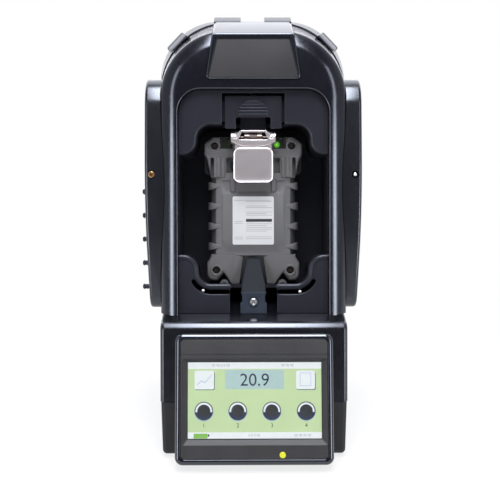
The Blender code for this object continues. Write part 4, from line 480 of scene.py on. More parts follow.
    def copy(self, name: str, shift: Sequence[float] = (0.0, 0.0, 0.0), mirror: bool = False) -> "Workpiece":
        """Copy the piece with a mesh of its own.

        Args:
            name: Name of the copy.
            shift: How far the copy is moved.
            mirror: True if it is mirrored to the other side first.

        Returns:
            The copy.
        """
        only(self.obj)
        bpy.ops.object.duplicate()
        twin = Workpiece(bpy.context.active_object)
        twin.obj.name = twin.obj.data.name = name
        with twin.editing():
            if mirror:
                bpy.ops.transform.resize(value=(-1.0, 1.0, 1.0), center_override=(0.0, 0.0, 0.0))
                bpy.ops.mesh.normals_make_consistent(inside=False)
            bpy.ops.transform.translate(value=shift)
        return twin

    def pair(self) -> tuple["Workpiece", "Workpiece"]:
        """Return a mirrored copy and the piece itself."""
        return self.copy(f"{self.obj.name}_left", mirror=True), self

    def settle(self, place: Matrix) -> None:
        """Move the piece and apply its place to its mesh."""
        self.obj.matrix_world = place
        only(self.obj)
        bpy.ops.object.transform_apply(location=True, rotation=True, scale=True)

    def placed(self, drawing: Drawing) -> "Workpiece":
        """Move the piece from its drawing frame to the stand's axes."""
        self.settle(drawing.matrix)
        return self

    def dressed(
        self, finish: bpy.types.Material, body: Body, nodes: Sequence[str] = (), slot: str = "",
        smooth: float = SMOOTH,
    ) -> bpy.types.Object:
        """Finish the piece and hand it to the frame.

        Args:
            finish: Material of the piece.
            body: Body that it rides on.
            nodes: CAD nodes that it stands for.
            slot: Slot of the record for the finish, if it isn't the material's own name; not used.
            smooth: Angle in degrees below which edges are shaded smooth.

        Returns:
            The finished object.
        """
        only(self.obj)
        bpy.ops.object.shade_smooth_by_angle(angle=math.radians(smooth))
        self.obj.data.materials.clear()
        self.obj.data.materials.append(finish)
        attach(self.obj, body.value)
        slot or finish.name.split(".")[0]
        if nodes:
            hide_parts(*nodes)
        LOG.info("%s rides on %s", self.obj.name, body.value)
        return self.obj


# Finishes


def operator(operation: str, reflected: bool = False) -> Callable[["Signal", "Value"], "Signal"]:
    """Make a method of Signal that adds a Math node.

    Args:
        operation: Operation of the node.
        reflected: True if the other value comes first.

    Returns:
        The method.
    """
    def method(signal: "Signal", other: "Value") -> "Signal":
        """Return the outcome of the node."""
        first, second = (other, signal) if reflected else (signal, other)
        return signal.board.node("ShaderNodeMath", {"operation": operation}, {0: first, 1: second})

    return method


class Signal:
    """A shader socket that takes part in Python arithmetic."""

    def __init__(self, board: "Board", socket: bpy.types.NodeSocket) -> None:
        """Keep the socket and the board that it is on."""
        self.board = board
        self.socket = socket

    __add__ = __radd__ = operator("ADD")
    __sub__ = operator("SUBTRACT")
    __rsub__ = operator("SUBTRACT", True)
    __mul__ = __rmul__ = operator("MULTIPLY")
    __pow__ = operator("POWER")

    def size(self) -> "Signal":
        """Return the value without its sign."""
        return operator("ABSOLUTE")(self, 0.0)

    def ramp(self, low: float, high: float) -> "Signal":
        """Return a soft step from 0 at low to 1 at high."""
        sockets = {"Value": self, "From Min": low, "From Max": high}
        return self.board.node("ShaderNodeMapRange", {"interpolation_type": "SMOOTHSTEP"}, sockets)


Value = Union[Signal, float]


class Board:
    """The node board of one material or of the world."""

    def __init__(self, tree: bpy.types.NodeTree) -> None:
        """Keep the node tree."""
        self.tree = tree

    @classmethod
    def material(cls, name: str) -> tuple["Board", bpy.types.Material]:
        """Make a material."""
        made = bpy.data.materials.new(name)
        made.use_nodes = True
        return cls(made.node_tree), made

    def node(
        self, kind: str, settings: Optional[dict] = None, sockets: Optional[dict] = None,
        out: Union[int, str] = 0
    ) -> Signal:
        """Add a node.

        Args:
            kind: Type of the node.
            settings: Its settings, which are set first.
            sockets: Values or links of its inputs.
            out: The output to return.

        Returns:
            The output as a signal.
        """
        made = self.tree.nodes.new(kind)
        for name, value in (settings or {}).items():
            setattr(made, name, value)
        self.feed(made, sockets or {})
        return Signal(self, made.outputs[out])

    def feed(self, made: bpy.types.Node, sockets: dict) -> None:
        """Set or link the inputs of a node.

        Args:
            made: The node.
            sockets: Values or signals by the name or number of the input.
        """
        for key, value in sockets.items():
            if isinstance(value, Signal):
                self.tree.links.new(value.socket, made.inputs[key])
            else:
                made.inputs[key].default_value = value

    def surface(self, sockets: dict) -> None:
        """Feed the material's own Principled shader."""
        self.feed(self.tree.nodes["Principled BSDF"], sockets)

    def place(self) -> Signal:
        """Return the place on the object."""
        return self.node("ShaderNodeTexCoord", out="Object")

    def parts(self, vector: Signal) -> tuple[Signal, Signal, Signal]:
        """Return the three parts of a vector."""
        split = self.node("ShaderNodeSeparateXYZ", {}, {0: vector})
        return tuple(Signal(self, socket) for socket in split.socket.node.outputs)

    def axes(self) -> tuple[Signal, Signal, Signal]:
        """Return the three parts of the place on the object."""
        return self.parts(self.place())

    def rays(self, *kinds: str) -> Signal:
        """Return 1 for the rays of some kinds and 0 for all others."""
        outputs = self.node("ShaderNodeLightPath").socket.node.outputs
        return sum(Signal(self, outputs[kind]) for kind in kinds)

    def noise(self, size: float, detail: float = 2.0, stretch: Sequence[float] = (1.0, 1.0, 1.0)) -> Signal:
        """Return a cloudy pattern with patches of about a size."""
        spread = self.node("ShaderNodeMapping", {}, {"Vector": self.place(), "Scale": stretch})
        sockets = {"Vector": spread, "Scale": 1.0 / size, "Detail": detail}
        return self.node("ShaderNodeTexNoise", {}, sockets, "Fac")

    def mix(self, first: Union[Signal, Colour], second: Union[Signal, Colour], share: Value) -> Signal:
        """Return a mix of two colours."""
        ends = [(*end, 1.0) if isinstance(end, tuple) else end for end in (first, second)]
        return self.node("ShaderNodeMix", {"data_type": "RGBA"}, {0: share, 6: ends[0], 7: ends[1]}, 2)

    def tones(self, colour: Colour, spread: float, share: Value) -> Signal:
        """Return a colour that runs from darker to lighter by a spread."""
        return self.mix(scaled(colour, 1.0 - spread), scaled(colour, 1.0 + spread), share)

    def bump(self, height: Signal, depth: float) -> Signal:
        """Return a surface normal from a height pattern of a real depth."""
        return self.node("ShaderNodeBump", {}, {"Strength": 1.0, "Distance": depth, "Height": height})


def scaled(colour: Colour, share: float) -> Colour:
    """Return a colour made lighter or darker."""
    return tuple(part * share for part in colour)


@dataclass(frozen=True)
class Plastic:
    """Moulded plastic or rubber: a body colour with cloudy patches and a spark-eroded grain.

    The colour can be darkened with depth in the lean, as painted shade in recesses: the depths where the
    darkening starts and ends, and the share of the colour that is left.
    """

    name: str
    colour: Colour
    roughness: float
    grain: float = 0.0008
    depth: float = 0.00002
    patches: float = 0.18
    specular: float = 0.5
    tint: Colour = (1.0, 1.0, 1.0)
    painted_shade: Optional[Point] = None
    cloud: float = 0.02
    cloud_share: float = 0.7
    cloud_dulling: float = 0.08
    grain_dulling: float = 0.1

    def make(self) -> bpy.types.Material:
        """Make the material.

        Returns:
            The material.
        """
        board, made = Board.material(self.name)
        cloud, grain = board.noise(self.cloud, 4.0), board.noise(self.grain)
        speckle = cloud * self.cloud_share + grain * (1.0 - self.cloud_share)
        colour = board.tones(self.colour, self.patches, speckle)
        # Painted shade: the colour darkens between two depths behind the face, standing in for the shade that
        # falls in recesses.
        if self.painted_shade:
            start, end, share = self.painted_shade
            lean = Drawing.LEAN.matrix.inverted().row[1]
            _, back, up = board.axes()
            depth = back * lean[1] + up * lean[2] + lean[3]
            colour = board.mix(colour, scaled(self.colour, share), depth.ramp(start, end))
        board.surface({
            "Base Color": colour,
            "Roughness": (self.roughness + (cloud - 0.5) * self.cloud_dulling
                          + (grain - 0.5) * self.grain_dulling),
            "Normal": board.bump(grain, self.depth),
            "Specular IOR Level": self.specular,
            "Specular Tint": (*self.tint, 1.0),
        })
        return made


@dataclass(frozen=True)
class Metal:
    """Bare or plated metal with fine rubbed lines and dull spots."""

    name: str
    colour: Colour
    roughness: float
    dull: float = 0.1
    line: float = 0.0012
    rubbed: Point = (1.0, 1.0, 12.0)
    depth: float = 0.000004
    spot: float = 0.006

    def make(self) -> bpy.types.Material:
        """Make the material.

        Returns:
            The material.
        """
        board, made = Board.material(self.name)
        lines = board.noise(self.line, 3.0, self.rubbed)
        spots = board.noise(self.spot, 4.0)
        board.surface({
            "Base Color": board.tones(self.colour, self.dull, spots),
            "Roughness": self.roughness + (lines + spots - 1.0) * self.dull,
            "Metallic": 1.0,
            "Normal": board.bump(lines, self.depth),
        })
        return made


@dataclass(frozen=True)
class Lamp:
    """Lit plastic of an indicator or a display, brighter in its middle patches."""

    name: str
    colour: Colour
    spread: float = 0.12
    strength: float = 0.85
    cloud: float = 0.004
    roughness: float = 0.25
    unlit: tuple[float, float] = (0.06, 0.1)

    def make(self) -> bpy.types.Material:
        """Make the material.

        Returns:
            The material.
        """
        board, made = Board.material(self.name)
        cloud = board.noise(self.cloud)
        board.surface({
            "Base Color": board.mix(*(scaled(self.colour, share) for share in self.unlit), cloud),
            "Roughness": self.roughness,
            "Emission Color": board.tones(self.colour, self.spread, cloud),
            "Emission Strength": self.strength,
        })
        return made


@dataclass(frozen=True)
class Lens:
    """Smoky lens with a glow behind one spot of it."""

    name: str
    colour: Colour
    spot: Point
    radius: float
    smoke: Colour = (0.008, 0.01, 0.007)
    pale_smoke: Colour = (0.016, 0.02, 0.013)
    haze: float = 0.002
    roughness: float = 0.18

    def make(self) -> bpy.types.Material:
        """Make the material.

        Returns:
            The material.
        """
        board, made = Board.material(self.name)
        gaps = [part - middle for part, middle in zip(board.axes(), self.spot)]
        away = sum(gap * gap for gap in gaps) ** 0.5
        haze = board.noise(self.haze)
        glow = 1.0 - away.ramp(0.1 * self.radius, self.radius)
        board.surface({
            "Base Color": board.mix(self.smoke, self.pale_smoke, haze),
            "Roughness": self.roughness + haze * 0.1,
            "Emission Color": board.mix((0.0, 0.0, 0.0), self.colour, glow * (0.75 + haze * 0.5)),
            "Emission Strength": 1.0,
        })
        return made


@dataclass(frozen=True)
class Glass:
    """Clear cover glass with a faint haze of finger marks."""

    name: str
    colour: Colour
    roughness: float = 0.03
    smear: float = 0.018
    smear_stretch: Point = (1.0, 1.0, 2.5)
    refraction: float = 1.3

    def make(self) -> bpy.types.Material:
        """Make the material.

        Returns:
            The material.
        """
        board, made = Board.material(self.name)
        smears = board.noise(self.smear, 4.0, self.smear_stretch)
        board.surface({
            "Base Color": board.mix(scaled(self.colour, 0.97), self.colour, smears),
            "Roughness": self.roughness + smears.ramp(0.5, 0.8) * 0.05,
            "Transmission Weight": 1.0,
            "IOR": self.refraction,
        })
        return made


@dataclass(frozen=True)
class CircuitBoard:
    """Green circuit board with lighter tracks."""

    name: str
    colour: Colour
    tracks: float = 260.0
    track_width: float = 0.06
    track_depth: float = 0.00004
    roughness: float = 0.45

    def make(self) -> bpy.types.Material:
        """Make the material.

        Returns:
            The material.
        """
        board, made = Board.material(self.name)
        black, white = (0.0, 0.0, 0.0, 1.0), (1.0, 1.0, 1.0, 1.0)
        tracks = board.node("ShaderNodeTexBrick", {"offset": 0.3}, {
            "Vector": board.place(), "Scale": self.tracks, "Mortar Size": self.track_width,
            "Color1": black, "Color2": black, "Mortar": white}, "Fac")
        board.surface({
            "Base Color": board.mix(self.colour, scaled(self.colour, 1.9), tracks),
            "Roughness": self.roughness - tracks * 0.1,
            "Normal": board.bump(tracks, self.track_depth),
        })
        return made


COOL: Colour = (0.84, 0.89, 1.0)


class Finishes:
    """All the finishes of the object by their names."""

    RECIPES = (
        Plastic("gloss_black", (0.0055, 0.0058, 0.009), 0.17, 0.003, 0.000003, 0.15, 1.0, COOL),
        Plastic("base_black", (0.0048, 0.005, 0.0075), 0.22, 0.003, 0.000003, 0.15, 0.9, COOL),
        Plastic("cover_black", (0.007, 0.0071, 0.0095), 0.22, 0.0012, 0.000004, 0.15, 0.9, COOL),
        Plastic("satin_black", (0.0205, 0.0205, 0.027), 0.32, 0.0007, 0.000008, 0.18, 0.3, COOL),
        Plastic("plate_black", (0.0215, 0.0205, 0.0225), 0.52, 0.0009, 0.00006, 0.45, 0.35),
        Plastic("charcoal", (0.034, 0.033, 0.0345), 0.52, 0.0009, 0.00006, 0.45, 0.35),
        Plastic("tray_black", (0.015, 0.0145, 0.0165), 0.5, 0.0009, 0.00002, 0.3, 0.35),
        # Painted shade: the nose's ramp behind its front block is darkened to about a third of the slate
        # colour.
        Plastic("slate", (0.036, 0.044, 0.062), 0.55, 0.0006, 0.00001, specular=0.08,
                painted_shade=(0.0052, 0.0068, 0.29)),
        Plastic("detector_grey", (0.122, 0.119, 0.119), 0.58, 0.0005, 0.000015, 0.1),
        # Painted shade: a slightly darker copy of detector_grey whose flanks, slots and groove, deeper than
        # the raised back, are darkened with depth.
        Plastic("detector_back", (0.116, 0.113, 0.114), 0.58, 0.0005, 0.000015, 0.1,
                painted_shade=(0.0262, 0.0335, 0.52)),
        Plastic("print_grey", (0.36, 0.36, 0.37), 0.55, 0.0006, 0.000002, 0.06),
        Plastic("print_black", (0.02, 0.02, 0.022), 0.5, 0.0006, 0.000002, 0.1),
        Plastic("rubber", (0.045, 0.045, 0.047), 0.75, 0.0006, 0.00003),
        Plastic("label_white", (0.66, 0.66, 0.66), 0.5, 0.0008, 0.000004, 0.03),
        Plastic("battery_blue", (0.05, 0.12, 0.3), 0.4, 0.001, 0.00001),
        Metal("chrome", (0.93, 0.86, 0.87), 0.315, 0.03),
        Metal("steel", (0.52, 0.52, 0.54), 0.3),
        Metal("dark_steel", (0.17, 0.135, 0.125), 0.3),
        Metal("brass", (0.7, 0.42, 0.2), 0.3),
        Metal("aluminium", (0.6, 0.6, 0.62), 0.38),
        Lamp("screen_green", (0.58, 0.74, 0.41), 0.04, cloud=0.02),
        Lamp("screen_white", (0.88, 0.92, 0.95), 0.02),
        Lamp("screen_glow", (0.45, 0.62, 0.62), 0.04),
        Lamp("screen_slate", (0.09, 0.16, 0.17), 0.05),
        Lamp("screen_blue", (0.52, 0.6, 0.8), 0.04),
        Lamp("screen_grey", (0.38, 0.41, 0.46), 0.04),
        Lamp("screen_olive", (0.05, 0.09, 0.03), 0.05),
        Lamp("screen_lime", (0.22, 0.52, 0.08), 0.05),
        Lamp("screen_navy", (0.007, 0.018, 0.07), 0.1),
        Lamp("screen_dark", (0.008, 0.012, 0.018), 0.1),
        Lamp("light_amber", (0.82, 0.82, 0.03), strength=0.9),
        Lens("light_green", (0.16, 0.6, 0.04), (0.0181, 0.0283, 0.2159), 0.0032),
        Lens("light_dark", (0.005, 0.008, 0.004), (-0.02, 0.0283, 0.2159), 0.004),
        Glass("clear_glass", (0.97, 0.985, 0.98)),
        CircuitBoard("board_green", (0.012, 0.11, 0.05)),
    )

    def __init__(self) -> None:
        """Make every finish once."""
        self.by_name = {recipe.name: recipe.make() for recipe in self.RECIPES}

    def __getitem__(self, name: str) -> bpy.types.Material:
        """Return a finish by its name."""
        return self.by_name[name]

    def dress_nodes(self, nodes: dict) -> None:
        """Give each CAD node of the frame the procedural finish of its slot.

        Args:
            nodes: The nodes by their names.
        """
        for name, node in nodes.items():
            for held in node.material_slots:
                key = held.material.name.split(".")[0] if held.material else ""
                key = "dark_steel" if name == "clip_spring" else key
                held.material = self.by_name.get(key, self.by_name["satin_black"])


# Sub-assemblies


@dataclass
class Assembly:
    """A sub-assembly: its pieces are drawn in one frame and ride on one body, unless they say otherwise."""

    finishes: Finishes
    DRAWING: ClassVar[Drawing] = Drawing.LEAN
    BODY: ClassVar[Body] = Body.STAND

    def fit(
        self, piece: Workpiece, finish: str, *nodes: str, slot: str = "", smooth: float = SMOOTH,
        body: Optional[Body] = None,
    ) -> bpy.types.Object:
        """Place a piece, dress it and hand it to the frame."""
        placed = piece.placed(self.DRAWING)
        return placed.dressed(self.finishes[finish], body or self.BODY, nodes, slot, smooth)


@dataclass
class Upright(Assembly):
    """The arch that leans back, its rear shell, hood and side covers."""

    half_width: float = 0.0697
    top: float = 0.3128
    corner: float = 0.0495
    corner_growth: float = 0.003
    depth: float = 0.044
    flare: float = 0.0013
    rise: float = 0.0118
    roll_depth: float = 0.00846
    # Width, first angle, last angle and steps of each arc of the rolled front
    roll_arcs: tuple[tuple[float, float, float, int], ...] = (
        (0.0045, 6.0, 20.0, 7), (0.006, 20.0, 42.0, 6), (0.0017, 42.0, 90.0, 6))
    arc_steps: int = 28
    rim_half: float = 0.0563
    rear_step: float = 0.0008
    rear_turn: float = 0.06
    vents: int = 6
    # Depths of the blocks on the shoulder, each with its reach from the middle of the curve
    bump_heights: Profile = ((0.0355, 0.0519), (0.0358, 0.0524), (0.039, 0.0545))
    mouth_heights: Profile = ((0.03, 0.0508), (0.0356, 0.051), (0.0425, 0.0554))
    pad_heights: Profile = ((0.049, 0.0592), (0.054, 0.06), (0.059, 0.06), (0.0598, 0.0594))
    lug_low: float = 0.32
    lug_back: float = 0.0606
    lug_corner: float = 0.001
    lug_edge: float = 0.0006
    hood_proud: float = 0.0015
    hood_corner: float = 0.0028
    # Half width, height and corner radius of the plate let into the hood
    plate_back: float = 0.001
    plate_edge: float = 0.0003
    cover_front: float = 0.01
    cover_corner: float = 0.023
    insert_across: float = 0.0762
    insert_up: float = 0.2051
    insert_hole: Profile = ((-0.044, 0.0026), (0.0246, 0.0026))
    insert_profile: Profile = (
        (0.0, 0.0011), (0.0, 0.0019), (0.0004, 0.0023), (0.006, 0.0023), (0.006, 0.0011))
    stud_profile: Profile = (
        (0.0, 0.0), (0.0002, 0.0008), (0.0008, 0.0015), (0.0018, 0.0018), (0.007, 0.0018), (0.007, 0.0))
    port_depth: float = 0.02
    port_hole: Profile = ((-0.163, 0.0034), (-0.0744, 0.0034))
    port_half: float = 0.005
    port_end: float = 0.0028
    barb_profile: Profile = (
        (-0.0842, 0.001), (-0.0842, 0.0014), (-0.083, 0.0022), (-0.0826, 0.0022), (-0.0824, 0.0016),
        (-0.0806, 0.002), (-0.0803, 0.002), (-0.0801, 0.0016), (-0.0734, 0.0016))

    def arch(self, depth: float, grow: float = 0.0) -> Outline:
        """Draw the outside of the arch at a depth, as it flares and rises towards the back.

        Args:
            depth: The depth.
            grow: How far the outline is moved outwards.

        Returns:
            The outline.
        """
        share = (depth - self.roll_depth) / (self.depth - self.roll_depth)
        half, top = self.half_width + self.flare * share, self.top + self.rise * share
        radius = self.corner + self.corner_growth * share
        return grown(evened((half, UPRIGHT_FOOT, 0.0), (half, top, radius), self.arc_steps), grow)

    def outside(self, last: float, grow: float = 0.0) -> list[Ring]:
        """Draw the arch's outside, rolled at the front, on to a last depth.

        Args:
            last: The last depth.
            grow: How far the outside is moved outwards.

        Returns:
            The rings, from front to back.
        """
        inset, depth = sum(arc[0] for arc in self.roll_arcs), 0.0
        rings = [at_depth(self.arch(self.roll_depth, grow - inset), depth - grow)]
        for width, first, final, steps in self.roll_arcs:
            turns = [math.radians(first + (final - first) * step / steps) for step in range(steps + 1)]
            radius = width / (math.sin(turns[-1]) - math.sin(turns[0]))
            for before, turn in zip(turns, turns[1:]):
                inset -= radius * (math.sin(turn) - math.sin(before))
                depth += radius * (math.cos(before) - math.cos(turn))
                rolled = self.arch(self.roll_depth, grow - inset)
                rings.append(at_depth(rolled, depth - grow * math.cos(turn)))
        return [*rings, at_depth(self.arch(last, grow), last)]

    def rear(self, depth: float, grow: float = 0.0) -> Outline:
        """Draw the outside of the rear shell at a depth: it goes on rising, then runs level.

        Args:
            depth: The depth.
            grow: How far the outline is moved outwards.

        Returns:
            The outline.
        """
        share = min(1.0, (depth - self.depth) / (self.rear_turn - self.depth))
        half = self.half_width + self.flare + self.rear_step + 0.0012 * share
        top = self.top + self.rise + self.rear_step + 0.0036 * share
        top += max(0.0, depth - self.rear_turn) * math.tan(Drawing.LEAN.tilt)
        radius = self.corner + self.corner_growth - 0.0055 * share
        return grown(evened((half, UPRIGHT_FOOT, 0.0), (half, top, radius), self.arc_steps), grow)

    def rear_body(self, name: str, front: float, past: float, grow: float = 0.0) -> Workpiece:
        """Return the body of the rear shell between two depths."""
        depths = (front, self.rear_turn, past)
        return Workpiece.loft(name, [at_depth(self.rear(depth, grow), depth) for depth in depths])

    def rim(self, grow: float = 0.0) -> Outline:
        """Return the outline of the cradle opening."""
        top = (self.rim_half, 0.2685, 0.017)
        return grown(evened((self.rim_half, UPRIGHT_FOOT - SPARE, 0.0), top, 16), grow)

    def hood_outline(self, depth: float, grow: float = 0.0) -> Outline:
        """Draw the outline of the hood at a depth.

        Args:
            depth: The depth.
            grow: How far the outline is moved outwards.

        Returns:
            The outline.
        """
        share = (depth + self.hood_proud) / (self.depth + self.hood_proud)
        bottom = (0.0355, 0.2757, self.hood_corner)
        top = (0.0303, 0.3093 + 0.0164 * share, self.hood_corner)
        return grown(evened(bottom, top, 7), grow)

    @staticmethod
    def below_deck() -> Workpiece:
        """Return the tool that trims a leaning piece level with the deck."""
        tool = Workpiece.block("deck_trim", (-REACH, -REACH, -REACH), (REACH, REACH, DECK_Z + GAP))
        tool.obj.matrix_world = Drawing.LEAN.matrix.inverted()
        return tool

    def build(self) -> None:
        """Make every piece of the upright."""
        self.make_front_shell()
        self.make_rear_shell()
        self.make_hood()
        self.make_covers()
        self.make_inserts()
        self.make_ports()

    def make_front_shell(self) -> None:
        """Make the rolled arch, hollow behind, open for the cradle and notched for the hood."""
        past, inside = self.depth + SPARE, self.roll_depth + WALL
        shell = Workpiece.loft("front_arch", self.outside(self.depth))
        hollow_rings = [at_depth(self.arch(depth, -WALL), depth) for depth in (inside, past)]
        hollow = Workpiece.loft("hollow", hollow_rings)
        hollow.cut(Workpiece.plate("kept", self.rim(WALL), 0.0, 2 * self.depth))
        notch = Workpiece.loft("notch", [
            at_depth(self.hood_outline(depth, GAP), depth) for depth in (-self.hood_proud - SPARE, past)])
        bump = self.shoulder("bump", (*self.bump_heights, (self.depth, 0.0572)))
        mouth = self.shoulder("mouth", self.mouth_heights, 0.0071, 0.0478)
        opening = Workpiece.hole(self.rim(), 0.0, past, 0.0011)
        shell.fuse(*bump.pair())
        shell.cut(hollow, opening, notch, *mouth.pair(), self.below_deck())
        self.fit(shell, "gloss_black", "front_shell")

    def make_rear_shell(self) -> None:
        """Make the hollow back of the upright, with lugs on top, shoulder pads and vents."""
        front, past = self.depth + GAP, 3 * self.depth
        shell = self.rear_body("rear_casing", front, past)
        behind = Drawing.LEAN.matrix.inverted()
        with shell.editing():
            bpy.ops.mesh.bisect(
                plane_co=behind @ Vector((0.0, BACK_Y, DECK_Z)),
                plane_no=behind.to_3x3() @ Vector((0.0, 1.0, 0.0)),
                use_fill=True, clear_outer=True)
            bpy.ops.mesh.select_all(action="DESELECT")
            self.select_back_edge(shell)
            bpy.ops.mesh.bevel(offset=0.004, segments=6, affect="EDGES")
        starts = zip((front, front + GAP), (0.057, 0.0575))
        pad = self.shoulder("pad", (*starts, *self.pad_heights))
        shell.fuse(*self.make_lug(front + GAP).pair(), *pad.pair())
        hollow = self.rear_body("hollow", front - SPARE, past + SPARE, -WALL)
        rear_wall = Workpiece.block("rear_wall", (-REACH, BACK_Y - WALL, 0.0), (REACH, REACH, REACH))
        rear_wall.obj.matrix_world = behind
        hollow.cut(rear_wall)
        shell.cut(hollow, self.below_deck())
        shell.placed(Drawing.LEAN)
        for index in range(self.vents):
            middle = (index - (self.vents - 1) / 2) * 0.01
            slot = rectangle(0.002, 0.15, 0.19, 0.0019, middle)
            shell.cut(Workpiece.plate("vent", slot, BACK_Y - 2 * WALL, BACK_Y + SPARE))
        shell.dressed(self.finishes["satin_black"], self.BODY, ["rear_shell"])

    @staticmethod
    def select_back_edge(shell: Workpiece) -> None:
        """Select the edges round the flat back of the casing.

        Args:
            shell: The casing, in edit mode with nothing selected.
        """
        near = 1e-5
        mesh = bmesh.from_edit_mesh(shell.obj.data)
        for edge in mesh.edges:
            ends = [Drawing.LEAN.matrix @ corner.co for corner in edge.verts]
            edge.select_set(all(abs(end.y - BACK_Y) < near for end in ends))
        mesh.select_flush_mode()
        bmesh.update_edit_mesh(shell.obj.data)

    def make_lug(self, front: float) -> Workpiece:
        """Make the right lug: a ramp that rises towards the back, its edges rounded.

        Args:
            front: Depth of its front.

        Returns:
            The lug.
        """
        ramp = rounded([
            (front, self.lug_low, 0.0), (self.lug_back, self.lug_low, 0.0),
            (self.lug_back, 0.3328, self.lug_corner), (front, 0.3262, self.lug_corner),
        ], 6)
        edge, part, inner, outer = self.lug_edge, 0.3 * self.lug_edge, 0.0092, 0.0304
        return Workpiece.loft("lug", [
            at_side(grown(ramp, -inset), across) for across, inset in (
                (inner, edge), (inner + part, part), (inner + edge, 0.0),
                (outer - edge, 0.0), (outer - part, part), (outer, edge))])

    def shoulder(
        self, name: str, heights: Sequence[tuple[float, float]], half: float = 0.0086, foot: float = 0.046
    ) -> Workpiece:
        """Make a block that stands square on the curve of the right shoulder.

        Args:
            name: Name of the block.
            heights: Its depths, each with its reach from the middle of the curve.
            half: Half of its length along the curve.
            foot: Where it starts, from the middle of the curve.

        Returns:
            The block.
        """
        radius, edge = self.corner + self.corner_growth, 0.0014
        centre = Vector((self.half_width + self.flare - radius, self.top + self.rise - radius))
        turn = math.radians(43.5)
        out = Vector((math.cos(turn), math.sin(turn)))
        along = Vector((-out.y, out.x)) * half
        rings = []
        for depth, height in heights:
            low, high = centre + out * foot, centre + out * height
            corners = ((low - along, 0.0), (high - along, edge), (high + along, edge), (low + along, 0.0))
            softened = rounded([(point.x, point.y, turned) for point, turned in corners], 5)
            rings.append(at_depth(softened, depth))
        return Workpiece.loft(name, rings)

    def make_hood(self) -> None:
        """Make the hood on the arch and the plain plate let into its front."""
        front = -self.hood_proud
        hood = Workpiece.loft("hood_cap", soft_front(self.hood_outline, front, self.depth, 0.0008))
        plate = evened((0.0333, 0.2767, 0.001), (0.0266, 0.3047, 0.001), 5)
        hood.cut(Workpiece.hole(grown(plate, GAP), front, front + 0.0013, self.plate_edge))
        self.fit(hood, "gloss_black", "top_hood")
        badge = Workpiece.plate(
            "plain_badge", plate, front + 0.0002, front + self.plate_back, self.plate_edge)
        self.fit(badge, "plate_black", "name_plate", slot="charcoal")

    def cover_profile(self) -> Outline:
        """Draw the side profile of a cover: a bulged front, a level bottom and an upright back.

        Returns:
            The profile as (depth, up).
        """
        lean, low, high = Drawing.LEAN.tilt, 0.1025, 0.279
        back = BACK_Y - 0.006 - Drawing.LEAN.origin_y
        low_z = low * math.cos(lean) - self.cover_front * math.sin(lean)
        back_low = back * math.sin(lean) + low_z * math.cos(lean)
        depths = [(back - up * math.sin(lean)) / math.cos(lean) for up in (back_low, high)]
        return rounded([
            (self.cover_front, low, 0.0095), (depths[0], back_low, self.cover_corner),
            (depths[1], high, self.cover_corner), (0.008, high, self.cover_corner),
            (0.0016, (low + high) / 2, 0.45),
        ], 14)

    def make_covers(self) -> None:
        """Make both side covers, drawn in towards the foot, with holes for the inserts and the gas ports."""
        profile, edge = self.cover_profile(), 0.0022
        rings = [at_side(profile, 0.056)]
        for turn in quarter(6):
            ring = at_side(grown(profile, edge * (math.cos(turn) - 1.0)), 0.0)
            for point in ring:
                draw = max(0.0, (0.215 - point.z) / 0.1085)
                point.x = 0.0814 - 0.0034 * draw**2 - edge * (1.0 - math.sin(turn))
            rings.append(ring)
        cover = Workpiece.loft("cover_right", rings)
        inner = grown(profile, -0.003)
        cover.cut(
            Workpiece.loft("cover_hollow", [at_side(inner, across) for across in (0.055, 0.0747)]),
            Workpiece.loft("arch_room", self.outside(self.depth, GAP)),
            self.rear_body("rear_room", self.depth - SPARE, REACH, GAP),
            Workpiece.turned(
                "insert_hole", self.insert_hole, Axis.DEPTH, (self.insert_across, 0.0, self.insert_up)),
        )
        left = cover.copy("cover_left", mirror=True)
        for up in self.port_heights():
            left.cut(Workpiece.turned("port_hole", self.port_hole, Axis.ACROSS, (0.0, self.port_depth, up)))
        self.fit(cover, "cover_black", "side_cover_right", slot="satin_black")
        self.fit(left, "cover_black", "side_cover_left", slot="satin_black")

    def make_inserts(self) -> None:
        """Make the brass insert in the left cover and the bright stud in the right one."""
        place = Axis.DEPTH, (-self.insert_across, 0.0019, self.insert_up)
        insert = Workpiece.turned("brass_bush", self.insert_profile, *place)
        insert.cut(Workpiece.turned("drill", ((-0.001, 0.00112), (0.0058, 0.00112)), *place))
        self.fit(insert, "brass", "cover_insert")
        stud = Workpiece.turned(
            "cover_stud", self.stud_profile, Axis.DEPTH, (self.insert_across, 0.003, self.insert_up), 24)
        self.fit(stud, "chrome")

    def port_heights(self) -> list[float]:
        """Return the height of every gas port."""
        return [0.1206 + 0.01805 * index for index in range(5)]

    def make_ports(self) -> None:
        """Make the block with its row of barbed gas ports."""
        depth, heights = self.port_depth, self.port_heights()
        outer, inner = (-0.0746, -0.0722)
        block = Workpiece.block(
            "barbed_ports", (outer, depth - self.port_half, heights[0] - self.port_end),
            (inner, depth + self.port_half, heights[-1] + self.port_end), 0.0006)
        axis = Axis.ACROSS, (0.0, depth, heights[0])
        barb = Workpiece.turned("barb", self.barb_profile, *axis, 20)
        barb.cut(Workpiece.turned("way", ((-0.0852, 0.0008), (-0.078, 0.0008)), *axis, 16))
        for up in heights[1:]:
            block.fuse(barb.copy("barb", (0.0, 0.0, up - heights[0])))
        block.fuse(barb)
        self.fit(block, "satin_black", "inlet_port_block")


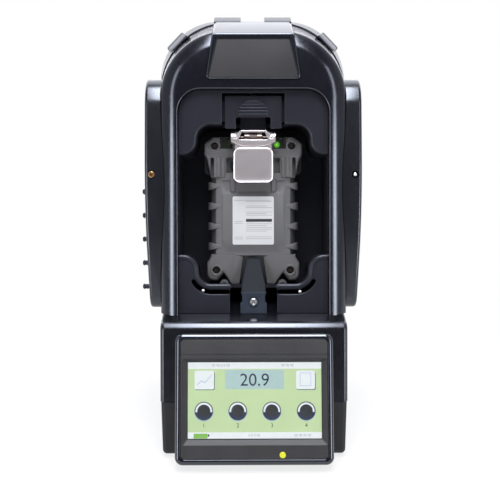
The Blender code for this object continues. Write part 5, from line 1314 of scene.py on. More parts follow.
@dataclass
class Base(Assembly):
    """The upper housing and the lower tray that the upright stands on, with feet and sockets."""

    DRAWING: ClassVar[Drawing] = Drawing.STAND

    half_width: float = 0.0688
    edge: float = 0.003
    nosing: float = 0.0075
    tray_half: float = 0.0684
    tray_low: float = 0.002
    tray_edge: float = 0.003
    foot_profile: Profile = (
        (0.0006, 0.0), (0.0006, 0.004), (0.0, 0.0046), (0.0, 0.006), (0.0003, 0.0067), (0.0009, 0.007),
        (0.0026, 0.007), (0.003, 0.0066), (0.003, 0.0))
    jack_z: float = 0.06
    # Place across, half width, half height and length of each socket
    power: tuple[float, float, float, float] = (-0.035, 0.006, 0.006, 0.014)
    network: tuple[float, float, float, float] = (-0.005, 0.008, 0.00675, 0.02)
    # Places along the axes of the power socket are taken from the back
    power_bore: Profile = ((-0.01, 0.0033), (-0.0006, 0.0033), (0.001, 0.0049))
    power_pin: Profile = ((-0.0108, 0.001), (-0.002, 0.001), (-0.0012, 0.0006), (-0.001, 0.0))
    network_mouth: tuple[Point, ...] = (
        (-0.01085, 0.056, 0.0003), (-0.0085, 0.056, 0.0), (-0.0085, 0.0545, 0.0), (-0.0015, 0.0545, 0.0),
        (-0.0015, 0.056, 0.0), (0.00085, 0.056, 0.0003), (0.00085, 0.064, 0.0003), (-0.01085, 0.064, 0.0003))
    # Distance from the back and height of each bend
    contact_path: Profile = ((0.0115, 0.0632), (0.004, 0.0632), (0.0034, 0.063), (0.01, 0.0606))

    def front_y(self, height: float, inset: float = 0.0) -> float:
        """Return the y of the leaning front face at a height."""
        lean = Drawing.LEAN
        return lean.origin_y + (inset - 0.016) / math.cos(lean.tilt) + height * math.tan(lean.tilt)

    @staticmethod
    def soft_block(
        name: str, profile: Outline, half_width: float, edge: float, taper: float = 0.0
    ) -> Workpiece:
        """Draw a side profile out to both sides of the middle, its end edges rounded.

        Args:
            name: Name of the piece.
            profile: Its side profile.
            half_width: Half of its width.
            edge: Radius of the end edges.
            taper: How far each side draws in between the split and the bottom.

        Returns:
            The piece.
        """
        rings = []
        turns = quarter(6)
        for side, order in ((-1, turns), (1, turns[::-1])):
            for turn in order:
                across = side * (half_width - edge * (1.0 - math.cos(turn)))
                ring = at_side(grown(profile, edge * (math.sin(turn) - 1.0)), across)
                for point in ring:
                    point.x -= side * taper * max(0.0, 1.0 - point.z / SPLIT_Z)
                rings.append(ring)
        return Workpiece.loft(name, rings)

    def room(self, low: float, high: float, half: float) -> Workpiece:
        """Make the tool that hollows the base behind its leaning front.

        Args:
            low: Height of its bottom.
            high: Height of its top.
            half: Half of its width.

        Returns:
            The tool.
        """
        back = BACK_Y - WALL
        profile = [
            Vector((self.front_y(low, WALL), low)), Vector((back, low)), Vector((back, high)),
            Vector((self.front_y(high, WALL), high))]
        return Workpiece.loft("hollow", [at_side(profile, across) for across in (-half, half)])

    def build(self) -> None:
        """Make every piece of the base."""
        self.make_housing()
        self.make_tray()
        self.make_feet()
        self.make_jacks()

    def make_housing(self) -> None:
        """Make the upper half of the base, hollow, with openings for the sockets."""
        spare = SPLIT_Z - 2 * self.edge
        housing = self.soft_block("base_upper", rounded([
            (self.front_y(spare), spare, 0.0), (BACK_Y, spare, 0.0), (BACK_Y, DECK_Z, self.nosing),
            (self.front_y(DECK_Z), DECK_Z, self.nosing),
        ], 10), self.half_width, self.edge)
        housing.cut(
            Workpiece.block("split", (-REACH, -REACH, -REACH), (REACH, REACH, SPLIT_Z)),
            self.room(SPLIT_Z - SPARE, DECK_Z - WALL, self.half_width - WALL),
            self.jack("power_seat", self.power, BACK_Y - 2 * WALL, REACH, GAP),
            self.jack("network_seat", self.network, BACK_Y - 2 * WALL, REACH, GAP),
        )
        self.fit(housing, "base_black", "base_housing", slot="gloss_black")

    def make_tray(self) -> None:
        """Make the lower half of the base, which draws in towards its bottom."""
        top = SPLIT_Z - GAP
        spare = top + 2 * self.tray_edge
        corner = self.tray_edge + SPARE
        tray = self.soft_block("base_lower", rounded([
            (self.front_y(self.tray_low), self.tray_low, corner), (BACK_Y, self.tray_low, corner),
            (BACK_Y, spare, 0.0), (self.front_y(spare), spare, 0.0),
        ], 8), self.tray_half, self.tray_edge, 0.0014)
        tray.cut(
            Workpiece.block("split", (-REACH, -REACH, top), (REACH, REACH, REACH)),
            self.room(self.tray_low + WALL, top + SPARE, self.tray_half - 2 * WALL))
        self.fit(tray, "tray_black", "base_tray", slot="charcoal")

    def make_feet(self) -> None:
        """Make one foot and copy it to the other three corners."""
        foot = Workpiece.turned("foot_pad_1", self.foot_profile, Axis.UP, (-0.05, -0.05, 0.0))
        corners = {"back_left": (0, 1), "front_right": (1, 0), "back_right": (1, 1)}
        for number, (corner, (right, back)) in enumerate(corners.items(), 2):
            shift = (right * 0.1, back * 0.127, 0.0)
            self.fit(foot.copy(f"foot_pad_{number}", shift), "rubber", f"foot_{corner}")
        self.fit(foot, "rubber", "foot_front_left")

    def jack(self, name: str, sizes: Sequence[float], front: float, back: float, grow: float = 0.0,
             edge: float = 0.0) -> Workpiece:
        """Make the block of a socket, or the tool for its seat."""
        across, half, tall = sizes[0], sizes[1] + grow, sizes[2] + grow
        low, high = (across - half, front, self.jack_z - tall), (across + half, back, self.jack_z + tall)
        return Workpiece.block(name, low, high, edge)

    def make_jacks(self) -> None:
        """Make the power socket with its pin and the network socket with its contacts."""
        power, network = (
            self.jack(name, sizes, BACK_Y - sizes[-1], BACK_Y - 0.0001, edge=0.0006)
            for name, sizes in (("power_socket", self.power), ("network_socket", self.network)))
        axis = Axis.DEPTH, (self.power[0], BACK_Y, self.jack_z)
        power.cut(Workpiece.turned("power_bore", self.power_bore, *axis))
        self.fit(power, "satin_black", "power_jack")
        self.fit(Workpiece.turned("power_pin", self.power_pin, *axis, 20), "steel")
        mouth = rounded(self.network_mouth, 3)
        network.cut(Workpiece.plate("mouth", mouth, BACK_Y - 0.012, BACK_Y + SPARE))
        self.fit(network, "satin_black", "network_jack")
        path = [Vector((-0.0085, BACK_Y - setback, up)) for setback, up in self.contact_path]
        contact = Workpiece.tube("network_contacts", path, 0.00022, 8)
        shifts = [(0.001 * step, 0.0, 0.0) for step in range(1, 8)]
        contact.add(*(contact.copy("contact", shift) for shift in shifts))
        self.fit(contact, "brass")


@dataclass
class Cradle(Assembly):
    """The panel with its deep pocket, the charging nose that stands in it and what they hold."""

    upright: Upright
    front: float = 0.006
    thickness: float = 0.003
    back: float = 0.066
    low: float = 0.1217
    high: float = 0.2425
    corner: float = 0.0107
    half: float = 0.0425
    wide_half: float = 0.0558
    wide_low: float = 0.1438
    wide_high: float = 0.2199
    lip: float = 0.0022
    slot_edge: float = 0.0005
    bead_start: float = 0.0188
    # Height, front, back and half width of each level of the nose
    nose_levels: tuple[tuple[float, float, float, float], ...] = (
        (0.09, 0.005, 0.0217, 0.0101), (0.1085, 0.005, 0.0217, 0.0101), (0.1092, 0.005, 0.0217, 0.0088),
        (0.1148, 0.005, 0.0217, 0.0088), (0.1156, 0.005, 0.0217, 0.0096), (0.1166, 0.005, 0.0217, 0.0096),
        (0.117, 0.0054, 0.0217, 0.0094), (0.1171, 0.0064, 0.0217, 0.0092), (0.1178, 0.007, 0.0217, 0.0094),
        (0.1217, 0.01, 0.0217, 0.0094), (0.1265, 0.014, 0.0266, 0.0084), (0.14, 0.0198, 0.0266, 0.0059),
        (0.1412, 0.0206, 0.0264, 0.0056), (0.1419, 0.0215, 0.0259, 0.0051), (0.1422, 0.0225, 0.0252, 0.0045))
    screw_sink: Profile = ((0.0, 0.0046), (0.005, 0.0046), (0.0057, 0.0034), (0.0064, 0.0033))
    screw_bore: Profile = ((0.0057, 0.0017), (0.03, 0.0017))
    screw_profile: Profile = (
        (0.0044, 0.0), (0.0044, 0.0013), (0.0038, 0.0016), (0.0037, 0.0024), (0.0041, 0.0029),
        (0.0055, 0.003),
        (0.0055, 0.0014), (0.0228, 0.0014), (0.023, 0.0012), (0.023, 0.0))
    contact_low: Point = (-0.0032, 0.0236, 0.1368)
    contact_high: Point = (0.0032, 0.0266, 0.1388)
    pad_profile: Profile = (
        (0.0166, 0.0), (0.0166, 0.0012), (0.016, 0.0018), (0.016, 0.0026), (0.0164, 0.0033), (0.0172, 0.0035),
        (0.0352, 0.0035), (0.036, 0.0028), (0.036, 0.0))
    rivet_profile: Profile = (
        (0.0074, 0.0), (0.0075, 0.0005), (0.0078, 0.001), (0.0084, 0.0012), (0.011, 0.0012), (0.011, 0.0))

    def pocket(self, grow: float = 0.0) -> Outline:
        """Draw the outline of the pocket, wide enough in the middle for fingers.

        Args:
            grow: How far the outline is moved outwards.

        Returns:
            The outline.
        """
        half, wide, radius = self.half, self.wide_half, self.corner
        return grown(mirrored([
            (half, self.low, radius), (half, self.wide_low, radius), (wide, self.wide_low, 0.0),
            (wide, self.wide_high, 0.0), (half, self.wide_high, radius), (half, self.high, radius),
        ], 14), grow)

    def build(self) -> None:
        """Make every piece of the cradle."""
        self.make_pan()
        self.make_nose()
        self.make_pads()

    def lip_slot(self) -> Outline:
        """Draw the curved slot that runs under the right half of the pocket's lower lip.

        Returns:
            The outline of the slot, with round ends.
        """
        centre = Vector((self.half - self.corner, self.low + self.corner))
        middle, half, steps = self.corner + 0.0046, 0.0017, 10
        path = [Vector((0.0196, centre.y - middle))]
        for step in range(steps + 1):
            turn = math.radians(60 * step / steps - 90)
            path.append(centre + Vector((math.cos(turn), math.sin(turn))) * middle)
        sides: tuple[Outline, Outline] = ([], [])
        for index, point in enumerate(path):
            ahead = (path[min(index + 1, len(path) - 1)] - path[max(index - 1, 0)]).normalized()
            out = Vector((ahead.y, -ahead.x)) * half
            sides[0].append(point + out)
            sides[1].append(point - out)
        ends = []
        for point, start in ((path[-1], sides[0][-1] - path[-1]), (path[0], sides[1][0] - path[0])):
            first = math.atan2(start.y, start.x)
            turns = [first + math.pi * step / 8 for step in range(1, 8)]
            ends.append([point + Vector((math.cos(turn), math.sin(turn))) * half for turn in turns])
        return [*sides[0], *ends[0], *reversed(sides[1]), *ends[1]]

    def bead_path(self) -> list[Vector]:
        """Draw the middle line of the rolled bead along the right half of the pocket's lower lip.

        Returns:
            The points of the line, without the two corners that only close the outline.
        """
        half, wide, radius, turn = self.half, self.wide_half, self.corner, self.wide_low
        line = rounded([
            (self.bead_start, self.low, 0.0), (half, self.low, radius), (half, turn, radius),
            (wide, turn, 0.0),
            (wide, self.wide_high, 0.0), (self.bead_start, self.wide_high, 0.0)], 14)
        moved = grown(line, 0.0006)[:-2]
        return [Vector((point.x, self.front + 0.0012, point.y)) for point in moved]

    def make_pan(self) -> None:
        """Make the panel and the pocket behind it in one, with a rolled lip and the slots under it."""
        front, behind = self.front, self.front + self.thickness
        pan = Workpiece.plate("cradle_tub", self.upright.rim(-GAP), front, behind)
        pan.fuse(Workpiece.plate(
            "tub", self.pocket(WALL), front + self.thickness / 2, self.back + WALL, 0.0, 0.0015))
        groove = Workpiece.hole(self.lip_slot(), front, behind + SPARE, 0.0008)
        latch = rectangle(0.0235, 0.2405, 0.2661, 0.0008)
        slot = rectangle(0.0177, UPRIGHT_FOOT, self.low + self.lip + SPARE)
        cup = rectangle(0.022, 0.1499, 0.1821)
        pan.cut(
            Workpiece.hole(self.pocket(), front, self.back, self.lip), *groove.pair(),
            Workpiece.hole(latch, front, 0.032, 0.0004),
            Workpiece.hole(slot, front, 0.022, self.slot_edge),
            Workpiece.plate("cup_room", cup, self.back - SPARE, 2 * self.back), self.upright.below_deck(),
        )
        self.fit(pan, "satin_black", "cradle_pan")
        bead = Workpiece.tube("lip_bead", self.bead_path(), 0.0021)
        bead.add(bead.copy("bead_left", mirror=True))
        self.fit(bead, "satin_black", slot="satin_black")

    def make_nose(self) -> None:
        """Make the charging nose with a ledge in front, its screw and its contact."""
        nose = Workpiece.loft("nose_block", [
            at_height(box(-half, half, front, back, 0.0011, 5), up)
            for up, front, back, half in self.nose_levels])
        axis = Axis.DEPTH, (0.0, 0.0, 0.1094)
        seat = Workpiece.block(
            "seat", Vector(self.contact_low) - Vector((GAP, GAP, GAP)),
            Vector(self.contact_high) + Vector((GAP, SPARE, GAP)))
        nose.cut(
            Workpiece.turned("sink", self.screw_sink, *axis),
            Workpiece.turned("bore", self.screw_bore, *axis), seat,
            self.upright.below_deck())
        # Its finish paints shade on the ramp above the front block.
        self.fit(nose, "slate", "charge_nose")
        self.fit(Workpiece.turned("nose_bolt", self.screw_profile, *axis), "steel", "nose_screw")
        contact = Workpiece.block("contact_pad", self.contact_low, self.contact_high, 0.0003)
        self.fit(contact, "brass", "charge_contact")

    def make_pads(self) -> None:
        """Make the two half-round rest pads on the pocket's floor and the rivets in the slots under it."""
        floor = self.low + GAP
        pad = Workpiece.turned("rest_bump_right", self.pad_profile, Axis.DEPTH, (0.0222, 0.0, floor))
        pad.cut(Workpiece.block("under", (-REACH, -REACH, -REACH), (REACH, REACH, floor)))
        left = pad.copy("rest_bump_left", mirror=True)
        rivet = Workpiece.turned("slot_rivets", self.rivet_profile, Axis.DEPTH, (0.035, 0.0, 0.1172), 20)
        rivet.add(rivet.copy("rivet", (-0.073, 0.0, 0.0009)))
        self.fit(rivet, "chrome")
        self.fit(pad, "rubber", "rest_pad_right")
        self.fit(left, "rubber", "rest_pad_left")


@dataclass
class Latch(Assembly):
    """The sliding latch over the detector: plate, ridged grip, nib and return spring."""

    BODY: ClassVar[Body] = Body.LATCH

    half: float = 0.0214
    low: float = 0.2397
    high: float = 0.2645
    front: float = 0.0094
    back: float = 0.0124
    corner: float = 0.0012
    edge: float = 0.0006
    thin_edge: float = 0.0003
    wing_half: float = 0.008
    wing_back: float = 0.002
    arm_half: float = 0.01
    arm_back: float = 0.028
    nib_outline: tuple[Point, ...] = (
        (-0.0076, 0.2358, 0.0006), (0.0076, 0.2358, 0.0006), (0.01, 0.242, 0.0004), (0.01, 0.251, 0.0),
        (-0.01, 0.251, 0.0), (-0.01, 0.242, 0.0004))
    grip_low: float = 0.2482
    ridge_radius: float = 0.0008
    coil_depth: float = 0.02
    coil_turns: int = 6
    wire: float = 0.0004

    def build(self) -> None:
        """Make the latch and its spring."""
        plate = Workpiece.plate(
            "slide_plate", rectangle(self.half, self.low, self.high, self.corner),
            self.front, self.back, self.edge,
            self.thin_edge)
        middle = (self.low + self.high) / 2 + SPARE
        sides = rectangle(self.half + 0.0046, middle - self.wing_half, middle + self.wing_half, 0.001)
        wings = Workpiece.plate(
            "wings", sides, self.back - self.thin_edge, self.back + self.wing_back, 0.0, self.thin_edge)
        arm = Workpiece.block(
            "arm", (-self.arm_half, self.back - SPARE, 0.25), (self.arm_half, self.arm_back, 0.256),
            0.0005)
        nib = Workpiece.plate(
            "nib", rounded(self.nib_outline, 4), 0.023, self.arm_back, 0.0008,
            0.0004)
        wings.cut(self.thumb_room())
        plate.cut(self.thumb_room(0.0004)).fuse(wings, arm, nib, self.make_grip())
        self.fit(plate, "satin_black", "release_latch")
        self.make_spring()

    def thumb_room(self, edge: float = 0.0) -> Workpiece:
        """Return the tool for the finger opening under the grip."""
        outline = rectangle(0.013, self.low - 2 * SPARE, self.grip_low, 0.0008)
        return Workpiece.hole(outline, self.front, self.back + 2 * self.wing_back, edge)

    def make_grip(self) -> Workpiece:
        """Make the half-round grip with its ridges.

        Returns:
            The grip.
        """
        half, low, small = 0.0111, self.grip_low, 0.0005
        face = self.front - 0.0014
        outline = evened((half, low + 0.0002, small), (half, low + 0.013, half - small), 14)
        grip = Workpiece.plate("grip", outline, face, self.front + SPARE, 0.0007)
        groove = Workpiece.turned(
            "groove", [(-self.half, self.ridge_radius), (self.half, self.ridge_radius)], Axis.ACROSS,
            (0.0, face, low + 0.0028), 16)
        shifts = [(0.0, 0.0, 0.0024 * step) for step in range(1, 4)]
        return grip.cut(*(groove.copy("groove_more", shift) for shift in shifts), groove)

    def make_spring(self) -> None:
        """Make the coil between the latch's arm and the top of the opening; it rides on the stand and keeps
        its shape when the latch rises.
        """
        low, high, radius = 0.2567, 0.2678, 0.0025
        steps = 20
        path = []
        for index in range(self.coil_turns * steps + 1):
            turn = math.tau * index / steps
            up = low + (high - low) * (index / (self.coil_turns * steps))
            path.append(Vector((radius * math.cos(turn), self.coil_depth + radius * math.sin(turn), up)))
        spring = Workpiece.tube("return_coil", path, self.wire, 8)
        made = self.fit(spring, "dark_steel", "latch_spring", slot="steel", body=Body.STAND)
        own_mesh(made)


@dataclass(frozen=True)
class Mark:
    """A plain rectangle on the display: left, top, right and bottom in columns and rows of the lit area."""

    name: str
    edges: tuple[float, float, float, float]
    layer: int
    finish: str
    radius: float = 0.0


@dataclass
class Screen(Assembly):
    """The sloped pod with its rim, inner plate, glass and lit display."""

    DRAWING: ClassVar[Drawing] = Drawing.SCREEN

    half: float = 0.057
    foot: float = -0.001
    height: float = 0.0928
    corner: float = 0.0056
    rim: float = 0.004
    edge: float = 0.0028
    plate_corner: float = 0.003
    plate_back: float = 0.0013
    plate_edge: float = 0.0002
    groove_low: float = 0.0775
    # Depths of the sloped frame at its outer front, inner front, inner back and outer back
    glass_half: float = 0.0524
    glass_low: float = 0.0133
    glass_high: float = 0.0766
    glass_corner: float = 0.0006
    glass_edge: float = 0.0002
    led_place: Point = (0.0202, 0.0, 0.0062)
    led_bore: Profile = ((-0.001, 0.0025), (0.0059, 0.0025))
    led_hole: Profile = ((-0.001, 0.0024), (0.0023, 0.0024))
    led_profile: Profile = (
        (-0.0004, 0.0), (-0.00036, 0.0008), (-0.0002, 0.0015), (0.0001, 0.002), (0.0005, 0.0022),
        (0.0056, 0.0022), (0.0056, 0.0))
    fine_corner: float = 0.0004
    left: float = -0.0478
    right: float = 0.0484
    low: float = 0.0177
    high: float = 0.0721
    columns: float = 134.0
    rows: float = 76.5
    level: float = 0.00467
    layer_step: float = 0.00004
    layer_thickness: float = 0.00003
    marks: tuple[Mark, ...] = (
        Mark("bar_top", (0.0, 0.0, 134.0, 6.6), 1, "screen_white"),
        Mark("bar_bottom", (0.0, 70.2, 134.0, 76.5), 1, "screen_white"),
        Mark("charge", (5.9, 71.5, 19.8, 76.3), 2, "screen_lime", 0.0003),
        Mark("charge_tip", (20.0, 72.2, 21.6, 74.4), 2, "screen_dark", 0.0003),
        Mark("tile_shade_0", (7.0, 9.6, 27.0, 28.0), 1, "screen_slate", 0.0014),
        Mark("tile_0", (6.7, 8.4, 26.2, 27.2), 2, "screen_white", 0.0014),
        Mark("tile_shade_1", (108.9, 9.6, 128.4, 28.0), 1, "screen_slate", 0.0014),
        Mark("tile_1", (108.6, 8.4, 127.6, 27.2), 2, "screen_white", 0.0014),
        Mark("sign_square", (112.4, 10.6, 123.8, 24.0), 3, "screen_blue"),
        Mark("sign_inside", (113.0, 11.2, 123.2, 23.4), 4, "screen_white"),
        Mark("readout", (37.4, 7.8, 96.4, 27.0), 2, "screen_glow"),
    )
    sign_line: Profile = (
        (9.0, 23.2), (13.5, 19.2), (17.0, 21.2), (24.2, 12.9), (24.2, 12.0), (17.0, 20.0), (13.5, 18.0),
        (9.0, 22.0))
    # Column, row and plain figures of each row of small print
    figures: tuple[tuple[float, float, str], ...] = (
        (33.0, 4.2, "00 00 0 0 00"), (100.0, 4.2, "00 00 00"), (66.5, 74.4, "0 0 0 00"),
        (115.0, 74.4, "00 00 00 00"))

    def build(self) -> None:
        """Make every piece of the screen."""
        self.make_bezel()
        self.make_plate()
        self.make_display()
        self.show_picture()

    def make_bezel(self) -> None:
        """Make the pod with its glossy rim, hollow and cut to the front of the base."""
        outline = rectangle(self.half, self.foot, self.height, self.corner)
        pod = Workpiece.plate("screen_pod", outline, 0.0, 0.04, self.edge)
        seat = rectangle(self.half - self.rim, self.foot + self.rim, self.height - self.rim, 0.0033)
        glass = rectangle(
            self.glass_half + GAP, self.glass_low - GAP, self.glass_high + GAP, self.glass_corner)
        room = rectangle(self.half - WALL, 0.01, self.height - WALL)
        to_screen = Drawing.SCREEN.matrix.inverted()
        front = Workpiece.block("base_front", (-REACH, -0.0163, -REACH), (REACH, REACH, REACH))
        front.obj.matrix_world = to_screen @ Drawing.LEAN.matrix
        floor = Workpiece.block("floor_cut", (-REACH, -REACH, -REACH), (REACH, REACH, 0.005))
        floor.obj.matrix_world = to_screen
        pod.cut(
            Workpiece.hole(seat, 0.0, 0.0016, 0.0004),
            Workpiece.plate("glass_seat", glass, 0.0008, 0.01),
            Workpiece.plate("pod_room", room, 0.009, 0.08),
            Workpiece.turned("led_bore", self.led_bore, Axis.DEPTH, self.led_place), front, floor,
        )
        self.fit(pod, "gloss_black", "screen_bezel")

    def make_plate(self) -> None:
        """Make the matte inner plate with a sloped frame round its window, and the light in its foot."""
        margin = self.rim + GAP
        outline = rectangle(self.half - margin, self.foot + margin, self.height - margin, self.plate_corner)
        plate = Workpiece.plate("inner_plate", outline, 0.0003, self.plate_back, self.plate_edge)
        inner = grown(
            box(self.left, self.right, self.low, self.high, self.fine_corner, 4), 0.0007)
        outer = box(-0.0516, 0.0526, 0.0131, 0.0745, 0.0012, 4)
        window = Workpiece.plate("window", grown(outer, GAP / 2), -SPARE, 2 * SPARE)
        sides = zip((outer, inner, inner, outer), (0.00025, 0.003, 0.0031, 0.0013))
        frame = Workpiece.loft("window_frame", [at_depth(side, depth) for side, depth in sides], closed=True)
        self.fit(frame, "charcoal", smooth=10.0)
        groove = Workpiece.block(
            "groove", (-self.half, -SPARE, self.groove_low), (self.half, 0.0006, 0.078))
        place = Axis.DEPTH, self.led_place
        plate.cut(window, groove, Workpiece.turned("led_hole", self.led_hole, *place))
        self.fit(plate, "charcoal", "front_plate")
        self.fit(Workpiece.turned("led_dome", self.led_profile, *place, 28), "light_amber", "status_led")

    def across(self, column: float) -> float:
        """Return a place across the lit area."""
        return self.left + (self.right - self.left) * column / self.columns

    def up(self, row: float) -> float:
        """Return a height on the lit area, whose rows are counted from the top."""
        return self.high - (self.high - self.low) * row / self.rows

    def area(self, left: float, top: float, right: float, bottom: float, radius: float = 0.0) -> Outline:
        """Return a rectangle of the lit area."""
        return box(self.across(left), self.across(right), self.up(bottom), self.up(top), radius, 5)

    def make_display(self) -> None:
        """Make the display's case, its lit field and the glass over it."""
        outline = rectangle(0.0495, 0.0165, 0.0734, self.fine_corner)
        case = Workpiece.plate("display_case", outline, 0.005, 0.0069, 0.0001)
        self.fit(case, "print_black", "display_panel", slot="screen_green")
        field = self.area(0.0, 0.0, self.columns, self.rows)
        self.fit(Workpiece.plate("display_field", field, 0.0047, 0.0051), "screen_green")
        pane = rectangle(self.glass_half, self.glass_low, self.glass_high, self.glass_corner)
        glass = Workpiece.plate(
            "cover_glass", pane, 0.0033, 0.0043, self.glass_edge, self.glass_edge)
        self.fit(glass, "clear_glass", "touch_glass")

    def show_picture(self) -> None:
        """Show plain bars, tiles, signs, figures and dials on the display."""
        for mark in self.marks:
            self.sheet(mark.name, self.area(*mark.edges, mark.radius), mark.layer, mark.finish)
        line = [Vector((self.across(column), self.up(row))) for column, row in self.sign_line]
        self.sheet("sign_line", line, 3, "screen_blue")
        for index, (column, row, text) in enumerate(self.figures):
            place = self.across(column), self.up(row)
            self.write(f"figures_{index}", text, place, 0.0025, 2, "screen_grey")
        column, row, text = (67.0, 23.6, "20.9")
        self.write("figure_readout", text, (self.across(column), self.up(row)), 0.0126, 3, "screen_navy")
        for index, column in enumerate((16.0, 50.0, 84.1, 118.6)):
            self.show_dial(index, self.across(column), self.up(49.0))

    def show_dial(self, index: int, middle: float, height: float) -> None:
        """Show one dial: a dark disc with a white arc over its top and its number under it.

        Args:
            index: Number of the dial, from 0.
            middle: Its place across.
            height: Its height.
        """
        self.sheet(f"dial_glow_{index}", circle(middle, height - 0.0005, 0.007), 1, "screen_glow")
        self.sheet(f"dial_{index}", circle(middle, height, 0.0067), 2, "screen_navy")
        (first, last), steps = (-8, 188), 28
        turns = [math.radians(first + (last - first) * step / steps) for step in range(steps + 1)]
        band = [
            Vector((middle + radius * math.cos(turn), height + radius * math.sin(turn)))
            for radius, order in zip((0.006, 0.0047), (turns, turns[::-1])) for turn in order]
        self.sheet(f"dial_arc_{index}", band, 3, "screen_white")
        self.sheet(f"dial_core_{index}", circle(middle, height, 0.0044), 4, "screen_dark")
        place = middle, height - 0.0116
        self.write(f"figure_{index}", str(index + 1), place, 0.0042, 2, "screen_olive")

    def sheet(self, name: str, outline: Outline, layer: int, finish: str) -> None:
        """Lay one thin lit shape over the display, in a layer of its own."""
        front = self.level - self.layer_step * layer
        piece = Workpiece.plate(name, outline, front, front + self.layer_thickness)
        self.fit(piece, finish, slot="screen_green")

    def write(
        self, name: str, text: str, place: tuple[float, float], size: float, layer: int, finish: str
    ) -> None:
        """Lay plain figures over the display.

        Args:
            name: Name of the piece.
            text: The figures.
            place: Middle of their foot as (across, up).
            size: Their size.
            layer: Their layer, from the display outwards.
            finish: Name of their finish.
        """
        bpy.ops.object.select_all(action="DESELECT")
        bpy.ops.object.text_add()
        obj = bpy.context.active_object
        obj.name, obj.data.body, obj.data.align_x, obj.data.size = name, text, "CENTER", size
        obj.data.extrude = self.layer_thickness / 2
        bpy.ops.object.convert(target="MESH")
        piece = Workpiece(bpy.context.active_object)
        depth = self.level - self.layer_step * layer + self.layer_thickness / 2
        upright = Matrix.Translation((place[0], depth, place[1])) @ Matrix.Rotation(math.pi / 2, 4, "X")
        piece.settle(self.DRAWING.matrix @ upright)
        with piece.editing():
            bpy.ops.mesh.remove_doubles(threshold=MERGE)
            bpy.ops.mesh.dissolve_degenerate(threshold=30 * MERGE)
            bpy.ops.mesh.normals_make_consistent(inside=False)
        piece.dressed(self.finishes[finish], self.BODY, slot="screen_green")


